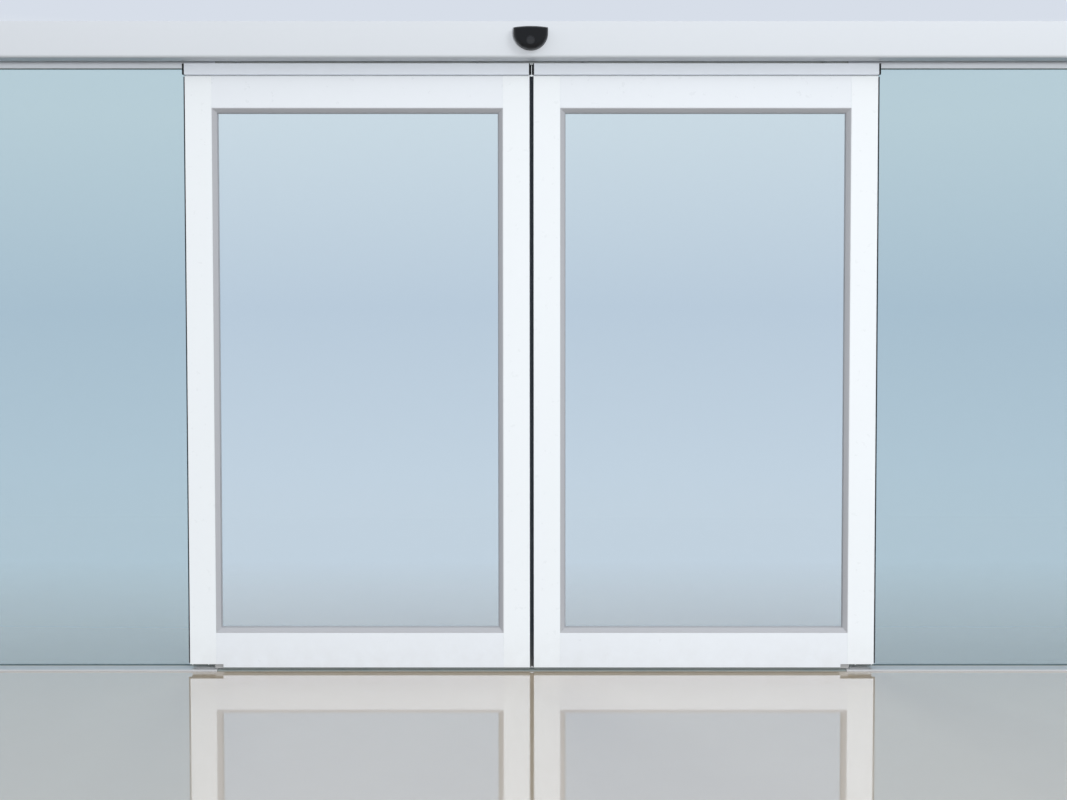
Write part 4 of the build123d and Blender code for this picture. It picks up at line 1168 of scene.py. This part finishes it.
def loop_points(along, depth, half_run, radius):
    """Places on the loop in X and Z. along is the true length on the middle line from the right-hand
    pulley's foremost point, turning upwards; depth is the distance out from the middle line."""
    quarter = np.pi / 2 * radius
    run = 2 * half_run
    s = (along + quarter) % (2 * run + 4 * quarter)
    stretches = [s < 2 * quarter, s < 2 * quarter + run, s < 4 * quarter + run]
    angle = np.select(stretches, [s / radius - np.pi / 2, np.pi / 2, (s - run) / radius - np.pi / 2],
                      -np.pi / 2)
    centre = np.select(stretches, [half_run, half_run - (s - 2 * quarter), -half_run],
                       s - 4 * quarter - run - half_run)
    return np.stack([centre + (radius + depth) * np.cos(angle), (radius + depth) * np.sin(angle)], -1)


def toothed_belt():
    """Rings of four corners: outer face, both edges, and an inner face that steps in at each tooth."""
    (_, front, low), (right, back, high) = box("toothed_belt")
    outer, half_thick = (high - low) / 2, 0.9
    radius = outer - half_thick
    half_run = right - outer
    pitch = (4 * half_run + 2 * np.pi * radius) / BELT_TEETH
    share = np.array([0.0, 0.16, 0.28, 0.72, 0.84])
    tall = np.array([1.7, 1.7, 0.0, 0.0, 1.7])
    along = ((np.arange(BELT_TEETH)[:, None] + 0.2 + share) * pitch).ravel()
    outside = loop_points(along, half_thick, half_run, radius)
    inside = loop_points(along, -half_thick - np.tile(tall, BELT_TEETH), half_run, radius)
    rings = np.empty((len(along), 4, 3))
    rings[:, :2, ::2], rings[:, 2:, ::2] = outside[:, None], inside[:, None]
    rings[..., 1] = front, back, back, front
    rings[..., 2] += (low + high) / 2
    return skin(rings, closed=True), pitch


belt, belt_pitch = toothed_belt()
put("belt", belt, "belt rubber", replaced=("toothed_belt",), smooth=25)
print("belt:", BELT_TEETH, "teeth,", round(belt_pitch, 3), "mm apart")

# %% [markdown]
# ## Pulleys
# A pulley is turned, then toothed: sixteen valleys take the belt's teeth. Its section is a ring
# whose radius goes up and down with the angle, with the flanks eased, and it is carried through the
# pulley's width. The driving pulley has a flange and sits on the gearbox's shaft; the idler turns
# on a ball bearing.

# %% A toothed wheel and a ball bearing
def toothed_outline(tip, depth):
    """Sixteen rounded valleys: the same shares of a tooth as in the solid, with small arcs at their
    corners."""
    share = np.array([0.0, 0.4, 0.55, 0.85])
    angle = (np.arange(PULLEY_TEETH)[:, None] + share) * 2 * np.pi / PULLEY_TEETH
    radius = np.array([tip - depth, tip - depth, tip, tip])
    corners = np.stack([radius * np.cos(angle), radius * np.sin(angle)], -1).reshape(-1, 2)
    return rounded(corners, np.tile([0.5, 0.5, 0.4, 0.4], PULLEY_TEETH), 2)


def pulley(middle, front, back, bore):
    """The toothed ring from face to face, with a shallow recess in both faces and a bore."""
    outline = toothed_outline(20.5, 2)
    start = np.arctan2(outline[0, 1], outline[0, 0])
    turn = start + angles(len(outline))
    hole = np.stack([np.cos(turn), np.sin(turn)], 1)
    eased_edge = inset(outline, 0.4)
    front_half = [(hole * bore, 1.4), (hole * (bore + 1.5), 1), (hole * 15.4, 1), (hole * 16, 0),
                  (eased_edge, 0), (outline, 0.4)]
    rings = [ring for ring, _ in front_half] + [ring for ring, _ in front_half[::-1]]
    places = [front + step for _, step in front_half] + [back - step for _, step in front_half[::-1]]
    at = np.array([middle[0], middle[2]])
    return skin(carried([ring + at for ring in rings], places, "y"), closed=True)


def bearing(middle, front, back, inner, outer):
    """A ball bearing from outside: two polished rings and a set-back seal between them."""
    width = outer - inner
    front_half = np.array([
        (inner, front), (inner + 0.24 * width, front), (inner + 0.27 * width, front + 0.5),
        (outer - 0.27 * width, front + 0.5), (outer - 0.24 * width, front), (outer, front),
    ])
    back_half = front_half[::-1] * (1, -1) + (0, front + back)
    return turned(np.concatenate([front_half, back_half]), (middle[0], 0, middle[2]), "y", 36)


print("points round a pulley:", len(toothed_outline(20.5, 2)))

# %% Both pulleys
(_, _, belt_low), (_, _, belt_high) = box("toothed_belt")
(drive_left, shaft_front, _), (drive_right, back_face, _) = box("drive_pulley")
pulley_x, belt_z = (drive_left + drive_right) / 2, (belt_low + belt_high) / 2
front_face = back_face - 12.6
drive_at, idle_at = (pulley_x, 0, belt_z), (-pulley_x, 0, belt_z)
flange = turned([
    (6.1, front_face - 1.4), (23.9, front_face - 1.4), (24.5, front_face - 0.9),
    (24.5, front_face - 0.4), (23.4, front_face), (6.1, front_face),
], drive_at, "y", 56)
shaft = turned([
    (0, shaft_front), (6, shaft_front), (6, back_face - 0.8),
    (5.4, back_face - 0.2), (1.4, back_face - 0.2), (0, back_face - 1.2),
], drive_at, "y", 40)
driver = joined(pulley(drive_at, front_face, back_face, 6.1), flange, shaft)
idler = joined(pulley(idle_at, front_face, back_face, 9.6),
               bearing(idle_at, front_face + 2.6, back_face - 2.6, 6.05, 9.5))
put("driver", driver, "machined alloy", "driver", ("drive_pulley",))
put("idler", idler, "machined alloy", "idler", ("idler_pulley",))
print("pulleys at x =", round(pulley_x, 1), "z =", round(belt_z, 1), "mm")

# %% [markdown]
# ## Wheels
# Each leaf hangs on two wheels. A nylon tyre, dished between rim and hub, is moulded round a sealed
# ball bearing. A closed loop of (radius, place) points turned about the axle gives the tyre, and
# another one gives the bearing.

# %% Wheels and their bearings
def wheel(node_name):
    """Tyre and bearing about the wheel's own axle."""
    (left, front, low), (right, back, high) = box(node_name)
    middle = ((left + right) / 2, 0, (low + high) / 2)
    radius = (high - low) / 2
    rim = rounded([
        (10, 0.2), (12.6, 0.2), (13.4, 1.4), (18.2, 1.4), (19, 0.1), (radius, 0.1), (radius, 7.9),
        (19, 7.9), (18.2, 6.6), (13.4, 6.6), (12.6, 7.8), (10, 7.8),
    ], [0.2, 0.3, 0.4, 0.4, 0.4, 0.9, 0.9, 0.4, 0.4, 0.4, 0.3, 0.2], 4) + (0, front)
    ring = bearing(middle, front + 0.3, back - 0.3, 6.05, 9.95)
    return turned(rim, middle, "y", 72), ring


for side in SIDES:
    for place in ("inner", "outer"):
        tyre, ring = wheel(f"wheel_{place}_{side}")
        body = f"{place}_wheel_{side}"
        put(f"tyre_{place}_{side}", tyre, "nylon", body, (f"wheel_{place}_{side}",))
        put(f"bearing_{place}_{side}", ring, "machined alloy", body)
        print(body, "has", len(tyre[0]), "points on its tyre")

# %% [markdown]
# ## Bolts and screws
# A nut or a bolt head is a hexagon whose corners are turned off in a cone, so its top is round and
# its sides end in small arcs. A grid gives exactly that: the hexagon's outline, drawn in at both
# ends so that no point lies outside the cone. The thread on a shank is a radius that follows the
# angle and the height together: a helix.

# %% Hexagons, threads and socket screws
def hexagon(flats, count):
    """A hexagon's radius at each angle: half its width over flats, over the cosine to the nearest
    flat."""
    nearest = (angles(count) + np.pi / 6) % (np.pi / 3) - np.pi / 6
    return flats / 2 / np.cos(nearest)


def hex_nut(middle, low, high, flats, count=48):
    """A hexagon with turned corners: at both ends it is held to just under the flats' own radius."""
    full = hexagon(flats, count)
    ends = np.minimum(full, flats / 2 * 0.97)
    ease = 0.55 * (flats / 2 / math.cos(math.pi / 6) - flats / 2)
    return spun(middle, np.array([ends, full, full, ends]), [low, low + ease, high - ease, high], "z")


def thread(middle, low, high, radius, pitch, count=24, steps=6):
    """A threaded rod: radius less a triangle wave of (height / pitch - angle / full turn), on a fine
    grid."""
    place = np.linspace(low, high, int((high - low) / pitch * steps) + 1)
    phase = (place[:, None] / pitch - angles(count) / (2 * np.pi)) % 1
    cut = 0.55 * pitch * np.abs(2 * phase - 1)
    cut[[0, -1]] = 0.6 * pitch
    return spun(middle, radius - cut, place, "z")


def cap_screw(middle, face, tall, radius, axis="y", way=-1, count=30):
    """A round head with an eased rim and a hexagon socket, standing on a face and pointing along way."""
    head, socket = radius * np.ones(count), hexagon(radius, count)
    radii = np.array([head, head, head * 0.9, socket * 1.08, socket, socket * 0.96])
    return spun(middle, radii, face + way * tall * np.array([0, 0.8, 1, 1, 0.94, 0.35]), axis)


print("a nut of 16 mm over its flats is", round(2 * hexagon(16, 12).max(), 1), "mm over its corners")

# %% Hanger bolts
def hanger_bolt(x):
    """Square head and neck in the carrier's slot, hexagonal shoulder, threaded shank, washer and nut."""
    (_, front, low), (_, back, high) = box("hanger_bolts_right")
    y = (front + back) / 2
    middle = (x, y, 0)
    head, neck, washer = 9.5, 6.2, 1.2
    shelf, foot = box("carrier_profile_right")[1][2], box("hangers_right")[0][2]
    slot, nut = shelf - 3.5, foot + 8
    return joined(
        block((x - head, y - head, low), (x + head, y + head, slot), 0.8, 3, "z"),
        block((x - neck, y - neck, slot), (x + neck, y + neck, shelf), 0.5, 3, "z", 0.1),
        hex_nut(middle, shelf, foot, 16),
        thread(middle, foot - 1, high - 0.1, 5, 1.5),
        turned([(5.1, nut), (8.4, nut), (8.4, nut + washer), (5.1, nut + washer)], middle, "z", 36),
        hex_nut(middle, nut + washer, high - 0.6, 15.6),
    )


half_hanger = 60
(hangers_start, _, _), (hangers_end, _, _) = box("hangers_right")
bolt_places = (hangers_start + half_hanger, hangers_end - half_hanger)
bolts = joined(*(hanger_bolt(x) for x in bolt_places))
put_pair("bolts", bolts, "zinc plate", replaced="hanger_bolts_{}", smooth=30)
print("bolts at x =", *(round(x, 1) for x in bolt_places), "mm")

# %% [markdown]
# ## Motor and gearbox
# The motor is a steel can between a cast flange and a vented end bell, held by four long screws.
# All three are turned about X. Cooling slots are not cut into a turned surface but are set on it as
# a ring of fins, each one a small bar, placed by a whole array of angles. The gearbox keeps its
# cast solid and gains a lid with four screws.

# %% Motor
def fins(middle, turn, inner, outer, low, high, thick):
    """Bars that stand out from a turned body along X, one at each turn, as one surface."""
    corner = np.array([(-1, 0), (1, 0), (0.8, 1), (-0.8, 1)], float)
    out = np.stack([np.cos(turn), np.sin(turn)], 1)
    aside = np.stack([-np.sin(turn), np.cos(turn)], 1)
    flat = out[:, None] * (inner + corner[:, 1:] * (outer - inner))
    flat = flat + aside[:, None] * corner[:, :1] * thick / 2
    points = np.empty((len(turn), 2, 4, 3))
    points[..., 0] = np.array([low, high])[None, :, None]
    points[..., 1:] = flat[:, None] + np.array(middle[1:])
    quad = np.array([(0, 1, 2, 3), (4, 5, 6, 7), (0, 1, 5, 4), (1, 2, 6, 5), (2, 3, 7, 6), (3, 0, 4, 7)])
    faces = (np.arange(len(turn))[:, None, None] * 8 + quad).reshape(-1, 4).tolist()
    return points.reshape(-1, 3), faces


(motor_start, motor_front, motor_low), (motor_end, motor_back, motor_high) = box("drive_motor")
motor_at = (0, (motor_front + motor_back) / 2, (motor_low + motor_high) / 2)
r = (motor_high - motor_low) / 2
flange_end, bell_start = motor_start + 9, motor_end - 34
can = turned_solid([
    (r - 1.6, flange_end - 1), (r - 1.6, bell_start - 6), (r - 2.4, bell_start - 4),
    (r - 2.4, bell_start + 1),
], motor_at)
end_flange = turned_solid([
    (r - 0.6, motor_start), (r, motor_start + 0.6), (r, flange_end - 0.8), (r - 0.8, flange_end),
], motor_at)
bell = turned_solid([
    (r - 0.8, bell_start), (r, bell_start + 0.8), (r, bell_start + 5), (r - 2.2, bell_start + 6),
    (r - 2.2, motor_end - 7), (r - 4, motor_end - 3.5), (r - 9, motor_end - 2), (11, motor_end - 2),
    (10, motor_end),
], motor_at)
ribs = fins(motor_at, angles(28), r - 2.6, r - 0.4, bell_start + 7, motor_end - 8, 2.2)
screws = [cap_screw((0, motor_at[1] + (r - 5.4) * math.cos(a), motor_at[2] + (r - 5.4) * math.sin(a)),
                    motor_end - 3.4, 2.6, 2.6, "x", 1) for a in np.pi / 4 + angles(4)]
put("motor_can", can, "dark enamel", replaced=("drive_motor",))
put("motor_ends", joined(end_flange, bell, ribs), "cast alloy")
put("motor_screws", joined(*screws), "zinc plate")
print("motor:", round(motor_end - motor_start), "mm long,", len(screws), "screws")

# %% Gearbox lid and screws
(box_left, box_front, _), (box_right, _, _) = box("motor_gearbox")
box_mid = (box_left + box_right) / 2
lid = block((box_mid - 26, box_front - 2, belt_z - 27), (box_mid + 26, box_front + 0.2, belt_z + 27),
            5, 5, "y", 0.6)
boss = turned_solid([(10.4, box_front - 5), (11.4, box_front - 4), (12, box_front - 1.8)],
                    (box_mid, 0, belt_z), "y", 40)
put("gearbox_lid", joined(lid, boss), "cast alloy")
lid_screws = [cap_screw((box_mid + a * 22, 0, belt_z + b * 22.5), box_front - 2, 2.8, 2.9)
              for a in (-1, 1) for b in (-1, 1)]
(plate_left, plate_front, _), (plate_right, _, plate_top) = box("idler_bracket")
idler_x, foot_low = (plate_left + plate_right) / 2, plate_top - 6
foot_screws = [hex_nut((idler_x + a * 17, plate_front + 15, 0), foot_low - 5, foot_low + 0.3, 10)
               for a in (-1, 1)]
put("frame_screws", joined(*lid_screws, *foot_screws), "zinc plate")
for side in SIDES:
    (left, _, low), (right, back, _) = box(f"belt_clamp_{side}")
    screws = [cap_screw((x, 0, low + 9), back - 7.5, 3, 2.6) for x in (left + 7, right - 7)]
    put(f"clamp_screws_{side}", joined(*screws), "zinc plate", f"leaf_{side}")
print("screws:", len(lid_screws), "in the lid,", len(foot_screws), "in the idler's foot")

# %% [markdown]
# ## Control unit and power supply
# The electronics sit in two closed boxes at the header's right end. The control unit is a moulded
# casing with a lid, a row of plug-in terminals along its lower edge, four buttons and a small lamp.
# Rows of like parts come from one array of places. The power supply is a finned casting with a
# terminal block; its fins are cut in the solid.

# %% Control unit
(left, front, low), (right, back, high) = box("control_unit")
casing = bar(rounded([(front + 2, low), (back, low), (back, high), (front + 2, high)],
                     [4, 2, 2, 4], 5), left, right, "x", 0.9)
lid = block((left + 8, front, low + 24), (right - 8, front + 2.4, high - 5), 4, 5, "y", 0.7)
sill_rail = block((left + 8, front + 1, low + 5), (right - 8, front + 2.4, low + 20), 2, 4, "y")
put("control_case", joined(casing, lid, sill_rail), "dark casing", replaced=("control_unit",))
places = left + 24 + np.arange(18) * 14
plugs = [block((x - 5.8, front - 5, low + 6.5), (x + 5.8, front + 1.2, low + 18.5), 0.8, 2, "y")
         for x in places]
clamps = [cap_screw((x, 0, low + 12.5), front - 5, 0.7, 2.3) for x in places]
put("control_plugs", joined(*plugs), "nylon")
put("control_plug_screws", joined(*clamps), "zinc plate")
button_z = high - 16
keys = [turned_solid([(3.2, front - 1.6), (3.8, front - 1), (3.8, front + 0.2)],
                     (right - 30 - k * 13, 0, button_z), "y", 28) for k in range(4)]
put("control_keys", joined(*keys), "black housing")
glow = turned([(0, front - 1.4), (0.9, front - 1.2), (1.5, front - 0.5), (1.5, front + 0.2),
               (0, front + 0.2)], (right - 84, 0, button_z), "y", 20)
put("control_lamp", glow, "sensor lens")
print("control unit:", len(plugs), "terminals,", len(keys), "keys")

# %% The power supply's terminals and the floor guides' screws
(left, front, _), (right, _, high) = box("power_supply")
terminals = block((left + 6, front - 4, high - 10.6), (right - 6, front + 0.2, high - 1.4), 1, 3, "y")
put("supply_block", terminals, "dark casing")
supply_screws = [cap_screw((x, 0, high - 6), front - 4, 0.8, 2.6) for x in left + 16 + np.arange(12) * 14.2]
put("supply_screws", joined(*supply_screws), "zinc plate")
(_, front, low), (end, back, _) = box("floor_guides")
guide_screws = [cap_screw((flip * x, (front + back) / 2, 0), low + 5, 0.9, 4.2, "z", 1)
                for flip in SIDES.values() for x in (end - 14, end - 50)]
put("guide_screws", joined(*guide_screws), "zinc plate")
print("terminals:", len(supply_screws), "guide screws:", len(guide_screws))
